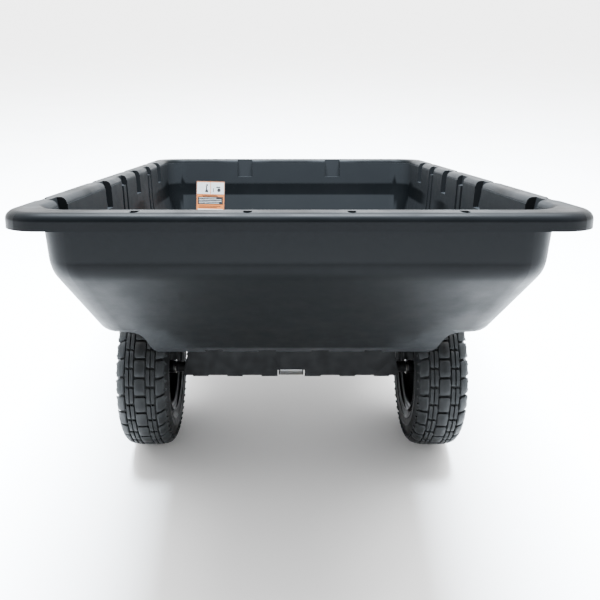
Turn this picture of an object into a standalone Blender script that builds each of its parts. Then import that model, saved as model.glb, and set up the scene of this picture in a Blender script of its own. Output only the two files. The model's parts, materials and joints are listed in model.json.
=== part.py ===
"""Tow-behind dump cart: moulded tub on a tipping pedestal, two pneumatic wheels, drawbar and clevis.

Everything is laid out in the cart's own level frame, with its origin on the middle of the axle:
+X to the right, +Y forward towards the tractor, +Z up. The whole cart hangs from one empty,
which leans it forward until the wheels and the hitch stand on the ground.
"""
import math

import bmesh
import bpy
from mathutils import Matrix, Vector

GAP = 0.0003                    # air left between two pieces that touch

# Wheels and axle
WHEEL_R = 0.200                 # 16 inch tyre
WHEEL_X = 0.361                 # wheel centre from the middle of the cart
HUB_R = 0.0165
HUB_BORE = 0.0125
HUB_HALF = 0.052
AXLE_R = 0.0095
AXLE_HALF = 0.432

# Tub
WALL = 0.005
FLOOR_Z = 0.160                 # underside of the floor
KINK_Z = 0.405                  # where the rear wall turns into the ramp
LIP_Z = 0.481                   # bottom of the rim's lip
RIM_Z = 0.508                   # top of the rim
RIM_HALF = 0.450
RIM_REAR = -0.720
RIM_FRONT = 0.658
WALL_HALF = 0.408               # outside of the wall at the rim
WALL_REAR = -0.672
WALL_FRONT = 0.612
BASE_HALF = 0.376               # outside of the wall at the floor
BASE_REAR = -0.333
BASE_FRONT = 0.560
KINK_HALF = 0.403
KINK_REAR = -0.664
KINK_FRONT = 0.602
CORNER_R = 0.070
WELL_SIDE = ((0.284, 0.160), (0.2915, 0.1645), (0.2958, 0.173), (0.2975, 0.188), (0.2985, 0.207),
             (0.3020, 0.2215), (0.3085, 0.2310), (0.3190, 0.2362), (0.3400, 0.2380))
WELL_FRONT = 0.270
CHANNEL_X = (-0.168, -0.056, 0.056, 0.168)
CHANNEL_W = 0.037
CHANNEL_D = 0.006
POCKET_Y = (-0.533, -0.222, 0.086, 0.395)
POCKET_X = (-0.1475, 0.1475)
POCKET_L = 0.050
POCKET_IN = 0.019               # how far a stake pocket runs into the rim
POCKET_D = 0.058
SLOT_Y = (-0.070, 0.240)
SLOT_W = 0.056
SLOT_LEDGE = 0.486              # the slot's notch ends here and two grooves run on down
GROOVE_Y = 0.020
GROOVE_W = 0.016
GROOVE_IN = 0.006
SLOT_IN = 0.010
NOTCH_L = 0.066
NOTCH_D = 0.010
REAR_HOLE_X = (-0.244, -0.077, 0.077, 0.244)
REAR_HOLE_W = 0.013
REAR_HOLE_L = 0.022

# Pedestal under the bed
WEB_Y = 0.033                   # outer faces of the two webs
STEEL = 0.003
WEB_HALF = 0.270
WEB_FOOT_HALF = 0.280
WEB_BOTTOM = -0.012
TAB_X = (-0.2361, -0.1466, -0.057, 0.057, 0.1466, 0.2361)
TAB_W = 0.041
WINDOW_HALF = 0.035
SLEEVE_R = 0.0225
SLEEVE_HALF = 0.029

# Drawbar and hitch
BAR = 0.050                     # square tube
BAR_WALL = 0.003
BAR_KNEE = (0.620, 0.060)
BAR_LEVEL = (0.930, 0.045)      # from here to its end the bar is level
BAR_END = (1.090, 0.045)
PLATE = 0.006
PLATE_W = 0.050
PLATE_BACK = 0.965
HITCH_BOLT_Y = (0.995, 1.055)
PIN_Y = 1.135
PLATE_TIP = 1.165
PIN_R = 0.0063
PIN_HOLE = 0.0068

# Front of the bed: rails, cross-member and latch
RAIL_X = 0.112
RAIL_W = 0.050
RAIL_H = 0.020
CROSS_Y = 0.500
CROSS_W = 0.060
BED_BOLTS = tuple((x, y) for y in (-0.052, 0.052, CROSS_Y) for x in (-RAIL_X, RAIL_X))
LATCH_AXIS = (0.590, 0.140)
STRIKER = (0.602, 0.110)
LATCH_OPEN = math.radians(24.0)


# ---------------------------------------------------------------- scene and materials
def clear_scene():
    for old in list(bpy.data.objects):
        bpy.data.objects.remove(old, do_unlink=True)


def material(name, color, roughness, metallic=0.0):
    mat = bpy.data.materials.new(name)
    mat.use_nodes = True
    shader = mat.node_tree.nodes["Principled BSDF"]
    shader.inputs["Base Color"].default_value = (*color, 1.0)
    shader.inputs["Roughness"].default_value = roughness
    shader.inputs["Metallic"].default_value = metallic
    mat.diffuse_color = (*color, 1.0)
    return mat


def make_materials():
    return {
        "tub_plastic": material("tub_plastic", (0.030, 0.034, 0.038), 0.42),
        "label": material("label", (0.78, 0.40, 0.10), 0.50),
        "black_steel": material("black_steel", (0.012, 0.013, 0.015), 0.40),
        "zinc": material("zinc", (0.62, 0.63, 0.64), 0.30, 1.0),
        "axle_steel": material("axle_steel", (0.50, 0.50, 0.50), 0.35, 1.0),
        "nylon": material("nylon", (0.05, 0.05, 0.05), 0.60),
        "rubber": material("rubber", (0.018, 0.018, 0.020), 0.75),
        "rim_paint": material("rim_paint", (0.020, 0.021, 0.023), 0.35),
        "grip": material("grip", (0.020, 0.020, 0.020), 0.70),
    }


# ---------------------------------------------------------------- mesh helpers
def new_object(name, bm, mat=None):
    """Turn a bmesh into an object, faces pointing out and round edges shaded smooth."""
    bmesh.ops.recalc_face_normals(bm, faces=bm.faces)
    mesh = bpy.data.meshes.new(name)
    bm.to_mesh(mesh)
    bm.free()
    mesh.shade_smooth()
    mesh.set_sharp_from_angle(angle=math.radians(35))
    obj = bpy.data.objects.new(name, mesh)
    bpy.context.scene.collection.objects.link(obj)
    if mat:
        mesh.materials.append(mat)
    return obj


def add_hull(bm, lower, upper):
    """Add one closed solid between two outlines with the same number of points."""
    rings = [[bm.verts.new(point) for point in outline] for outline in (lower, upper)]
    count = len(lower)
    bm.faces.new(list(reversed(rings[0])))
    bm.faces.new(rings[1])
    for i in range(count):
        j = (i + 1) % count
        bm.faces.new((rings[0][i], rings[0][j], rings[1][j], rings[1][i]))


def loft(name, outlines, mat=None):
    """One closed solid through a stack of outlines."""
    bm = bmesh.new()
    rings = [[bm.verts.new(point) for point in outline] for outline in outlines]
    count = len(outlines[0])
    bm.faces.new(list(reversed(rings[0])))
    bm.faces.new(rings[-1])
    for low, high in zip(rings, rings[1:]):
        for i in range(count):
            j = (i + 1) % count
            bm.faces.new((low[i], low[j], high[j], high[i]))
    return new_object(name, bm, mat)


def boxes(name, spans, mat=None):
    """One or more blocks, each given as ((x0, x1), (y0, y1), (z0, z1))."""
    bm = bmesh.new()
    for (x0, x1), (y0, y1), (z0, z1) in spans:
        corners = ((x0, y0), (x1, y0), (x1, y1), (x0, y1))
        add_hull(bm, [(x, y, z0) for x, y in corners], [(x, y, z1) for x, y in corners])
    return new_object(name, bm, mat)


def prism(name, outline, axis, start, end, mat=None):
    """An outline extruded along an axis; the outline's pair follows the other two axes in order."""
    def point(a, b, depth):
        if axis == "X":
            return (depth, a, b)
        if axis == "Y":
            return (a, depth, b)
        return (a, b, depth)

    bm = bmesh.new()
    add_hull(bm, [point(a, b, start) for a, b in outline], [point(a, b, end) for a, b in outline])
    return new_object(name, bm, mat)


def circle(radius, count, centre=(0.0, 0.0)):
    step = 2 * math.pi / count
    return [(centre[0] + radius * math.cos(i * step), centre[1] + radius * math.sin(i * step))
            for i in range(count)]


def rod(name, radius, axis, start, end, centre=(0.0, 0.0), count=24, mat=None):
    return prism(name, circle(radius, count, centre), axis, start, end, mat)


def lathe(name, profile, mat=None, steps=48):
    """Turn a closed (x, radius) profile round the X axis."""
    bm = bmesh.new()
    rings = []
    for i in range(steps):
        turn = 2 * math.pi * i / steps
        rings.append([bm.verts.new((x, -r * math.sin(turn), r * math.cos(turn))) for x, r in profile])
    count = len(profile)
    for i in range(steps):
        near = rings[i]
        far = rings[(i + 1) % steps]
        for a in range(count):
            b = (a + 1) % count
            bm.faces.new((near[a], near[b], far[b], far[a]))
    return new_object(name, bm, mat)


def tube(name, outer, inner, axis, start, end, centre=(0.0, 0.0), count=32, mat=None):
    """A round tube: a rod with its bore cut out."""
    obj = rod(name, outer, axis, start, end, centre, count, mat)
    cut(obj, rod(name + "_bore", inner, axis, start - 0.01, end + 0.01, centre, max(count, 16)))
    return obj


def boolean(obj, other, operation):
    mod = obj.modifiers.new(operation.lower() + "_" + other.name, "BOOLEAN")
    mod.operation = operation
    mod.solver = "EXACT"
    mod.object = other
    other.hide_render = True
    other.display_type = "WIRE"
    other.parent = None
    return mod


def cut(obj, cutter):
    return boolean(obj, cutter, "DIFFERENCE")


def weld(obj, piece):
    return boolean(obj, piece, "UNION")


def settle(obj):
    """Apply the Booleans of a piece that is built round the origin and used more than once."""
    graph = bpy.context.evaluated_depsgraph_get()
    mesh = bpy.data.meshes.new_from_object(obj.evaluated_get(graph))
    obj.modifiers.clear()
    obj.data = mesh
    return obj


# ---------------------------------------------------------------- pivots
def empty(name, place=(0.0, 0.0, 0.0), parent=None):
    obj = bpy.data.objects.new(name, None)
    obj.empty_display_size = 0.05
    obj.location = place
    obj.parent = parent
    bpy.context.scene.collection.objects.link(obj)
    return obj


def make_pivots():
    """The cart's frame, and one empty on the axis of each moving piece."""
    cart = empty("cart_frame")
    pivots = {"chassis": cart}
    pivots["bed"] = empty("dump_axis", parent=cart)
    pivots["wheel_left"] = empty("wheel_left_axis", (-WHEEL_X, 0, 0), cart)
    pivots["wheel_right"] = empty("wheel_right_axis", (WHEEL_X, 0, 0), cart)
    pivots["latch"] = empty("latch_axis", (0, *LATCH_AXIS), cart)
    pivots["hitch_pin"] = empty("hitch_pin_axis", (0, PIN_Y, BAR_END[1]), cart)
    return pivots


def put(obj, pivot, at=(0.0, 0.0, 0.0)):
    """Hang a piece and its cutters from a pivot, with their origins at a point of the cart's frame."""
    for mod in obj.modifiers:
        put(mod.object, pivot, at)
    obj.parent = pivot
    place = Vector(at)
    if pivot.parent:
        place = place - pivot.location
    obj.location = place
    return obj


# ---------------------------------------------------------------- tub
def outline(half, rear, front, radius, z, steps=5):
    """A rounded rectangle seen from above, as points at height z."""
    centres = ((half - radius, front - radius, 0), (radius - half, front - radius, 90),
               (radius - half, rear + radius, 180), (half - radius, rear + radius, 270))
    points = []
    for cx, cy, start in centres:
        for i in range(steps + 1):
            turn = math.radians(start + 90 * i / steps)
            points.append((cx + radius * math.cos(turn), cy + radius * math.sin(turn), z))
    return points


def wall_outlines(skin, top):
    """Outlines of the tub's wall, skin metres inside its outer face."""
    ramp_skin = skin * 1.65     # the ramp slopes, so its skin is thicker when measured level
    return [
        outline(BASE_HALF - skin, BASE_REAR + ramp_skin, BASE_FRONT - skin, CORNER_R - 0.02, FLOOR_Z + skin),
        outline(KINK_HALF - skin, KINK_REAR + ramp_skin, KINK_FRONT - skin, CORNER_R - 0.01, KINK_Z),
        outline(KINK_HALF + 0.002 - skin, KINK_REAR - 0.004 + skin, KINK_FRONT + 0.003 - skin,
                CORNER_R - 0.01, KINK_Z + 0.022),
        outline(WALL_HALF - skin, WALL_REAR + skin, WALL_FRONT - skin, CORNER_R - 0.01, top),
    ]


def rim_outlines(inset, low, high):
    """Outlines of the rim's outer face with a rolled top edge."""
    roll = ((0.0, low), (0.0, high - 0.010), (0.0025, high - 0.004), (0.0085, high - 0.0008), (0.015, high))
    return [outline(RIM_HALF - inset - d, RIM_REAR + inset + d, RIM_FRONT - inset - d,
                    CORNER_R - inset, z) for d, z in roll]


def well_profile(skin):
    """Section of a wheel well, its skin set into the bed: steep side, flat roof, rounded outer corner."""
    low = FLOOR_Z - 0.03
    points = []
    for i, (x, z) in enumerate(WELL_SIDE):
        x0, z0 = WELL_SIDE[max(i - 1, 0)]
        x1, z1 = WELL_SIDE[min(i + 1, len(WELL_SIDE) - 1)]
        run = math.hypot(x1 - x0, z1 - z0)
        points.append((x - (z1 - z0) / run * skin, z + (x1 - x0) / run * skin))
    roof = WELL_SIDE[-1][1] + skin
    for i in range(6):
        turn = math.radians(90 * i / 5)
        points.append((0.352 + (0.040 - skin) * math.sin(turn),
                       roof + (0.040 - skin) * (1 - math.cos(turn))))
    return [(points[0][0], low)] + points + [(0.470, roof + 0.040 - skin), (0.470, low)]


def well_cutter(name, side, skin):
    section = [(side * x, z) for x, z in well_profile(skin)]
    return prism(name, section, "Y", -0.520, WELL_FRONT + skin)


def wall_x(z):
    """Half width of the wall's outer face at height z."""
    return BASE_HALF + (WALL_HALF - BASE_HALF) * (z - FLOOR_Z) / (LIP_Z - FLOOR_Z)


def leaning_slab(bm, side, y0, y1, z0, z1, inside, outside):
    """A block that follows the side wall's lean, from inside to outside of its outer face."""
    ends = []
    for z in (z0, z1):
        near = side * (wall_x(z) + inside)
        far = side * (wall_x(z) + outside)
        ends.append([(near, y0, z), (far, y0, z), (far, y1, z), (near, y1, z)])
    add_hull(bm, *ends)


def stake_pockets(name, grow, above):
    """Blocks for the stake pockets, four on each side and two at the front, narrower at the bottom."""
    bm = bmesh.new()
    half = POCKET_L / 2 + grow
    levels = ((RIM_Z - POCKET_D - grow, WALL * 0.6 + grow), (RIM_Z + above, POCKET_IN - WALL + grow))
    for side in (-1, 1):
        for y in POCKET_Y:
            ends = []
            for z, reach in levels:
                near, far = side * (WALL_HALF - 0.012 - grow), side * (WALL_HALF + reach)
                ends.append([(near, y - half, z), (far, y - half, z),
                             (far, y + half, z), (near, y + half, z)])
            add_hull(bm, *ends)
    for x in POCKET_X:
        ends = []
        for z, reach in levels:
            near, far = WALL_FRONT - 0.012 - grow, WALL_FRONT + reach
            ends.append([(x - half, near, z), (x + half, near, z), (x + half, far, z), (x - half, far, z)])
        add_hull(bm, *ends)
    return new_object(name, bm)


def side_slabs(name, width, shifts, low, high, inside, outside):
    """Blocks along both side walls, at each of the given shifts from every slot's middle."""
    bm = bmesh.new()
    for side in (-1, 1):
        for y in SLOT_Y:
            for shift in shifts:
                middle = y + shift
                leaning_slab(bm, side, middle - width / 2, middle + width / 2, low, high, inside, outside)
    return new_object(name, bm)


def slot_walls():
    return side_slabs("slot_walls", SLOT_W + 0.008, (0,), FLOOR_Z + 0.110, RIM_Z - 0.0035,
                      -0.016, SLOT_IN - 0.001)


def slot_notches():
    """Notches in the rim's inner edge, down to the ledge."""
    return side_slabs("slot_notches", SLOT_W, (0,), SLOT_LEDGE, RIM_Z + 0.02, -0.012, SLOT_IN - WALL)


def slot_grooves():
    """Two shallow grooves that run on down the wall below each notch."""
    return side_slabs("slot_grooves", GROOVE_W, (-GROOVE_Y, GROOVE_Y), FLOOR_Z + 0.115, SLOT_LEDGE + 0.001,
                      -0.012, GROOVE_IN - WALL)


def edge_notches(name):
    """Lens-shaped recesses just inside the rim's outer edge, one beside each side pocket."""
    bm = bmesh.new()
    for side in (-1, 1):
        for y in POCKET_Y:
            curve = []
            for i in range(9):
                turn = math.radians(180 * i / 8)
                curve.append((side * (RIM_HALF - 0.0045 - 0.0145 * math.sin(turn)),
                              y - NOTCH_L / 2 * math.cos(turn)))
            add_hull(bm, [(x, v, RIM_Z - NOTCH_D) for x, v in curve],
                     [(x, v, RIM_Z + 0.02) for x, v in curve])
    return new_object(name, bm)


def notch_wall_spans():
    """Thicker rim behind each edge notch, so that the notch has a floor."""
    half = NOTCH_L / 2 + WALL
    return [(sorted((side * 0.4245, side * (RIM_HALF - 0.0025))), (y - half, y + half),
             (RIM_Z - NOTCH_D - WALL, RIM_Z - WALL + 0.0005)) for side in (-1, 1) for y in POCKET_Y]


def make_tub(mats, bed):
    tub = loft("tub", rim_outlines(0.0, LIP_Z, RIM_Z), mats["tub_plastic"])
    under_rim = [outline(RIM_HALF - WALL, RIM_REAR + WALL, RIM_FRONT - WALL, CORNER_R - WALL, z)
                 for z in (LIP_Z - 0.02, RIM_Z - WALL)]
    cut(tub, loft("rim_hollow", under_rim))
    weld(tub, loft("tub_body", wall_outlines(0.0, RIM_Z - 0.004)))
    weld(tub, stake_pockets("pocket_walls", 0.004, -0.003))
    weld(tub, slot_walls())
    weld(tub, boxes("notch_walls", notch_wall_spans()))
    cavity = loft("tub_cavity", wall_outlines(WALL, RIM_Z + 0.02))
    for side, word in ((-1, "left"), (1, "right")):
        cut(tub, well_cutter("wheel_well_" + word, side, 0.0))
        cut(cavity, well_cutter("well_bump_" + word, side, WALL))
    bump = CHANNEL_W / 2 + WALL
    ribs = [((x - bump, x + bump), (-0.50, 0.525), (FLOOR_Z, FLOOR_Z + CHANNEL_D + WALL)) for x in CHANNEL_X]
    cut(cavity, boxes("floor_ribs", ribs))
    cut(tub, cavity)
    inner_edge = [outline(WALL_HALF - WALL + d, WALL_REAR + WALL - d, WALL_FRONT - WALL + d,
                          CORNER_R - 0.01 + d, z)
                  for d, z in ((0.0, RIM_Z - 0.010), (0.0015, RIM_Z - 0.005), (0.006, RIM_Z - 0.0012),
                               (0.012, RIM_Z), (0.013, RIM_Z + 0.02))]
    cut(tub, loft("rim_inner_roll", inner_edge))
    half = CHANNEL_W / 2
    channels = [((x - half, x + half), (-0.60, 0.520), (FLOOR_Z - 0.02, FLOOR_Z + CHANNEL_D))
                for x in CHANNEL_X]
    cut(tub, boxes("floor_channels", channels))
    cut(tub, stake_pockets("stake_pockets", 0.0, 0.01))
    cut(tub, slot_notches())
    cut(tub, slot_grooves())
    cut(tub, edge_notches("edge_notches"))
    holes = [((x - REAR_HOLE_W / 2, x + REAR_HOLE_W / 2),
              (RIM_REAR + 0.010, RIM_REAR + 0.010 + REAR_HOLE_L), (RIM_Z - 0.02, RIM_Z + 0.02))
             for x in REAR_HOLE_X]
    cut(tub, boxes("rear_holes", holes))
    bolt_holes = bmesh.new()
    for x, y in BED_BOLTS:
        add_hull(bolt_holes, [(x + a, y + b, 0.14) for a, b in circle(0.0048, 12)],
                 [(x + a, y + b, 0.19) for a, b in circle(0.0048, 12)])
    cut(tub, new_object("bolt_holes", bolt_holes))
    put(tub, bed)


# ---------------------------------------------------------------- more shapes
def turned(name, stations, axis="Z", count=12, mat=None):
    """A solid turned piece: circles of (radius, depth) stacked along an axis."""
    rings = []
    for radius, depth in stations:
        ring = circle(radius, count)
        if axis == "X":
            rings.append([(depth, a, b) for a, b in ring])
        else:
            rings.append([(a, b, depth) for a, b in ring])
    return loft(name, rings, mat)


def sheet_profile(line, thickness):
    """A closed outline of constant thickness round an open line of (x, radius) points."""
    left, right = [], []
    for i, (x, r) in enumerate(line):
        x0, r0 = line[max(i - 1, 0)]
        x1, r1 = line[min(i + 1, len(line) - 1)]
        run = math.hypot(x1 - x0, r1 - r0)
        nx, nr = -(r1 - r0) / run * thickness / 2, (x1 - x0) / run * thickness / 2
        left.append((x + nx, r + nr))
        right.append((x - nx, r - nr))
    return left + right[::-1]


def copy_of(obj, name):
    twin = bpy.data.objects.new(name, obj.data)
    bpy.context.scene.collection.objects.link(twin)
    return twin


# ---------------------------------------------------------------- bed
def make_label(mats, bed):
    """A pictogram plate stuck to the inside of the front wall."""
    low, high = (0.5772, 0.296), (0.5983, 0.436)
    skin = 0.0004
    section = [low, high, (high[0] - skin, high[1]), (low[0] - skin, low[1])]
    put(prism("warning_label", section, "X", -0.314, -0.217, mats["label"]), bed)


def web_outline():
    """Rear view of a web: straight sides, flared foot, tabs along the bottom, window in the middle."""
    top = FLOOR_Z - GAP
    tab = 0.003
    points = [(WEB_HALF, top), (WEB_HALF, 0.040), (WEB_FOOT_HALF, 0.0), (WEB_FOOT_HALF, WEB_BOTTOM)]
    for x in reversed([x for x in TAB_X if x > 0]):
        points += [(x + TAB_W / 2, WEB_BOTTOM), (x + TAB_W / 2, WEB_BOTTOM - tab),
                   (x - TAB_W / 2, WEB_BOTTOM - tab), (x - TAB_W / 2, WEB_BOTTOM)]
    points = [p for p in points if p[0] > WINDOW_HALF]
    return points


def make_web(name, side, window_top, mats, bed):
    """One web of the pedestal with a flange bolted to the floor; side is -1 at the rear."""
    half = web_outline()
    window = [(WINDOW_HALF, half[-1][1]), (WINDOW_HALF, window_top)]
    ring = half + window + [(-x, z) for x, z in reversed(half + window)]
    y0, y1 = sorted((side * WEB_Y, side * (WEB_Y - STEEL)))
    web = prism(name, ring, "Y", y0, y1, mats["black_steel"])
    f0, f1 = sorted((side * (WEB_Y - STEEL / 2), side * (WEB_Y + 0.040)))
    top = FLOOR_Z - GAP
    flange = [((-WEB_HALF + 0.002, WEB_HALF - 0.002), (f0, f1), (top - STEEL, top))]
    weld(web, boxes(name + "_flange", flange))
    holes = [(x, y) for x, y in BED_BOLTS if f0 < y < f1]
    for number, spot in enumerate(holes):
        cut(web, rod(name + "_hole_%d" % number, 0.0048, "Z", 0.14, 0.17, spot, 12))
    put(web, bed)


def make_pedestal(mats, bed):
    make_web("pedestal_rear_web", -1, 0.003, mats, bed)
    make_web("pedestal_front_web", 1, 0.045, mats, bed)
    inner = WEB_Y - STEEL - GAP
    for side, word in ((-1, "left"), (1, "right")):
        for base, x in (("pedestal_end_", 0.252), ("pedestal_rib_", 0.041)):
            span = sorted((side * x, side * (x + STEEL)))
            sides = (span, (-inner, inner), (WEB_BOTTOM, FLOOR_Z - 0.002))
            plate = boxes(base + word, [sides], mats["black_steel"])
            start, end = span[0] - 0.01, span[1] + 0.01
            cut(plate, rod(base + word + "_hole", AXLE_R + GAP, "X", start, end, count=24))
            put(plate, bed)


def make_floor_frame(mats, bed):
    """Two rails and a cross-member under the floor, and the bracket that carries the latch."""
    top = FLOOR_Z - GAP
    steel = mats["black_steel"]
    back, front = WEB_Y + 0.0405, CROSS_Y - CROSS_W / 2 - GAP
    for side, word in ((-1, "left"), (1, "right")):
        x = side * RAIL_X
        rail = boxes("floor_rail_" + word,
                     [((x - RAIL_W / 2, x + RAIL_W / 2), (back, front), (top - RAIL_H, top))], steel)
        hollow = [((x - RAIL_W / 2 + STEEL, x + RAIL_W / 2 - STEEL), (back - 0.01, front + 0.01),
                   (top - RAIL_H - 0.01, top - STEEL))]
        cut(rail, boxes("rail_hollow_" + word, hollow))
        put(rail, bed)
    y0, y1 = CROSS_Y - CROSS_W / 2, CROSS_Y + CROSS_W / 2
    cross = boxes("front_crossmember", [((-0.170, 0.170), (y0, y1), (top - RAIL_H, top))], steel)
    hollow = [((-0.20, 0.20), (y0 + STEEL, y1 - STEEL), (top - RAIL_H - 0.01, top - STEEL))]
    cut(cross, boxes("cross_hollow", hollow))
    for number, spot in enumerate(BED_BOLTS[4:]):
        cut(cross, rod("cross_hole_%d" % number, 0.0048, "Z", 0.13, 0.17, spot, 12))
    put(cross, bed)


def make_latch_bracket(mats, bed):
    plate_top = FLOOR_Z - 2 * GAP - RAIL_H
    y0 = CROSS_Y - CROSS_W / 2 + 0.002
    plate = ((-0.0320, 0.0320), (y0 + 0.001, 0.533), (plate_top - STEEL, plate_top - 0.0005))
    bracket = boxes("latch_bracket", [plate], mats["black_steel"])
    cheek = [(y0, plate_top), (y0, 0.118), (0.600, 0.122), (0.608, 0.130), (0.608, 0.148), (0.600, 0.156),
             (0.545, 0.156), (0.535, plate_top)]
    for side, word in ((-1, "left"), (1, "right")):
        span = sorted((side * 0.0300, side * 0.0335))
        weld(bracket, prism("cheek_" + word, cheek, "X", span[0], span[1]))
    cut(bracket, rod("latch_bolt_hole", 0.0043, "X", -0.05, 0.05, LATCH_AXIS, 16))
    put(bracket, bed)
    stations = [(0.0075, -0.0395), (0.0075, -0.0340), (0.0040, -0.0340), (0.0040, 0.0400)]
    bolt = turned("latch_pivot_bolt", stations, "X", 12, mats["zinc"])
    put(bolt, bed, (0, *LATCH_AXIS))
    nut = tube("latch_pivot_nut", 0.0075, 0.0043, "X", 0.0340, 0.0390, count=6, mat=mats["zinc"])
    put(settle(nut), bed, (0, *LATCH_AXIS))
    put(latch_spring(mats), bed, (0, *LATCH_AXIS))


def latch_spring(mats):
    """Torsion spring round the latch bolt, with one leg lying against the bracket."""
    turns, per_turn, coil_r = 4, 10, 0.0075
    points = []
    for i in range(turns * per_turn + 1):
        turn = 2 * math.pi * i / per_turn
        points.append((0.0075 + 0.019 * i / (turns * per_turn),
                       coil_r * math.cos(turn), coil_r * math.sin(turn)))
    points.append((0.0280, coil_r + 0.001, 0.016))
    curve = bpy.data.curves.new("latch_spring", "CURVE")
    curve.dimensions = "3D"
    curve.bevel_depth = 0.0009
    curve.bevel_resolution = 0
    curve.use_fill_caps = True
    curve.materials.append(mats["zinc"])
    spline = curve.splines.new("POLY")
    spline.points.add(len(points) - 1)
    for node, point in zip(spline.points, points):
        node.co = (*point, 1.0)
    obj = bpy.data.objects.new("latch_spring", curve)
    bpy.context.scene.collection.objects.link(obj)
    return obj


def make_bed_bolts(mats, bed):
    """Round-headed bolts through the floor."""
    head = FLOOR_Z + WALL + GAP
    grip = FLOOR_Z - GAP - STEEL - GAP
    bolt = turned("bed_bolt_1", [(0.0040, grip - 0.0090), (0.0040, head), (0.0100, head),
                                 (0.0090, head + 0.0018), (0.0055, head + 0.0034)], mat=mats["zinc"])
    for number, (x, y) in enumerate(BED_BOLTS, 1):
        put(bolt if number == 1 else copy_of(bolt, "bed_bolt_%d" % number), bed, (x, y, 0))


# ---------------------------------------------------------------- latch
def make_latch(mats, latch):
    """Hooked lever, drawn hooked round the striker and then swung open about its bolt."""
    lever_line = [(-0.010, -0.006), (-0.004, -0.011), (0.018, -0.012), (0.018, -0.0365), (0.008, -0.0365),
                  (0.008, -0.045), (0.030, -0.045), (0.032, -0.043), (0.032, 0.000), (0.092, 0.038),
                  (0.084, 0.050), (0.012, 0.0105), (-0.004, 0.011), (-0.010, 0.006)]
    lever = prism("latch_lever", lever_line, "X", -0.003, 0.003, mats["zinc"])
    cut(lever, rod("lever_hole", 0.0042, "X", -0.01, 0.01, count=16))
    grip_line = [(0.0460, 0.0010), (0.0540, 0.0030), (0.1010, 0.0328), (0.1020, 0.0400), (0.0890, 0.0590),
                 (0.0810, 0.0600), (0.0340, 0.0302), (0.0330, 0.0230)]
    grip = prism("latch_grip", grip_line, "X", -0.009, 0.009, mats["grip"])
    slot = [(0.020, -0.0080), (0.0925 + GAP, 0.0379), (0.0841, 0.0505 + GAP), (0.000, 0.0041)]
    cut(grip, prism("grip_slot", slot, "X", -0.003 - GAP, 0.003 + GAP))
    for obj in (lever, grip):
        settle(obj)
        obj.data.transform(Matrix.Rotation(LATCH_OPEN, 4, "X"))
        put(obj, latch, (0, *LATCH_AXIS))


# ---------------------------------------------------------------- chassis
def bar_z(y):
    """Height of the drawbar's centre line at y."""
    stations = ((0.0, 0.0), BAR_KNEE, BAR_LEVEL, BAR_END)
    for (y0, z0), (y1, z1) in zip(stations, stations[1:]):
        if y <= y1:
            return z0 + (z1 - z0) * (y - y0) / (y1 - y0)
    return stations[-1][1]


def bar_section(y, half, radius, stretch):
    """The tube's rounded square section in the upright plane at y."""
    points = []
    for start in (0, 90, 180, 270):
        cx = (half - radius) * (1 if start in (0, 270) else -1)
        cz = (half - radius) * (1 if start in (0, 90) else -1)
        for i in range(3):
            turn = math.radians(start + 45 * i)
            points.append((cx + radius * math.cos(turn), y,
                           bar_z(y) + stretch * (cz + radius * math.sin(turn))))
    return points


def make_drawbar(mats, chassis):
    slope = math.atan2(BAR_KNEE[1], BAR_KNEE[0])
    lean = 1 / math.cos(slope)
    stations = [(0.004, lean), (BAR_KNEE[0], lean), (BAR_LEVEL[0], 1.0), (BAR_END[0], 1.0)]
    bar = loft("drawbar", [bar_section(y, BAR / 2, 0.007, s) for y, s in stations], mats["black_steel"])
    inside = [(-0.05, lean)] + stations[1:3] + [(BAR_END[0] + 0.01, 1.0)]
    cut(bar, loft("drawbar_hollow", [bar_section(y, BAR / 2 - BAR_WALL, 0.004, s) for y, s in inside]))
    cut(bar, rod("drawbar_cope", SLEEVE_R + GAP, "X", -0.04, 0.04, count=24))
    for number, y in enumerate(HITCH_BOLT_Y):
        cut(bar, rod("drawbar_hole_%d" % number, 0.0053, "Z", 0.0, 0.1, (0, y), 16))
    put(bar, chassis)


def make_hitch(mats, chassis):
    """Two plates bolted above and below the bar's end, open in front to take a drawbar plate."""
    half = PLATE_W / 2
    nose = [(half * math.cos(math.radians(a)), PLATE_TIP - half + half * math.sin(math.radians(a)))
            for a in range(0, 181, 18)]
    plate_line = [(half, PLATE_BACK)] + nose + [(-half, PLATE_BACK)]
    middle = BAR_END[1]
    for word, side in (("upper", 1), ("lower", -1)):
        faces = sorted((middle + side * (BAR / 2 + GAP), middle + side * (BAR / 2 + GAP + PLATE)))
        name = "hitch_plate_" + word
        plate = prism(name, plate_line, "Z", faces[0], faces[1], mats["zinc"])
        for number, y in enumerate(HITCH_BOLT_Y):
            cut(plate, rod("%s_hole_%d" % (name, number), 0.0053, "Z", 0.0, 0.1, (0, y), 16))
        cut(plate, rod(name + "_pin_hole", PIN_HOLE, "Z", 0.0, 0.1, (0, PIN_Y), 20))
        put(plate, chassis)
    head = BAR / 2 + GAP + PLATE + GAP
    stations = [(0.0050, -head - 0.0080), (0.0050, head), (0.0090, head), (0.0090, head + 0.0060)]
    bolt = turned("hitch_bolt_1", stations, mat=mats["zinc"])
    nut = settle(tube("hitch_nut_1", 0.0090, 0.0053, "Z", -head - 0.0070, -head, count=6, mat=mats["zinc"]))
    for number, y in enumerate(HITCH_BOLT_Y, 1):
        put(bolt if number == 1 else copy_of(bolt, "hitch_bolt_%d" % number), chassis, (0, y, middle))
        put(nut if number == 1 else copy_of(nut, "hitch_nut_%d" % number), chassis, (0, y, middle))


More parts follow.
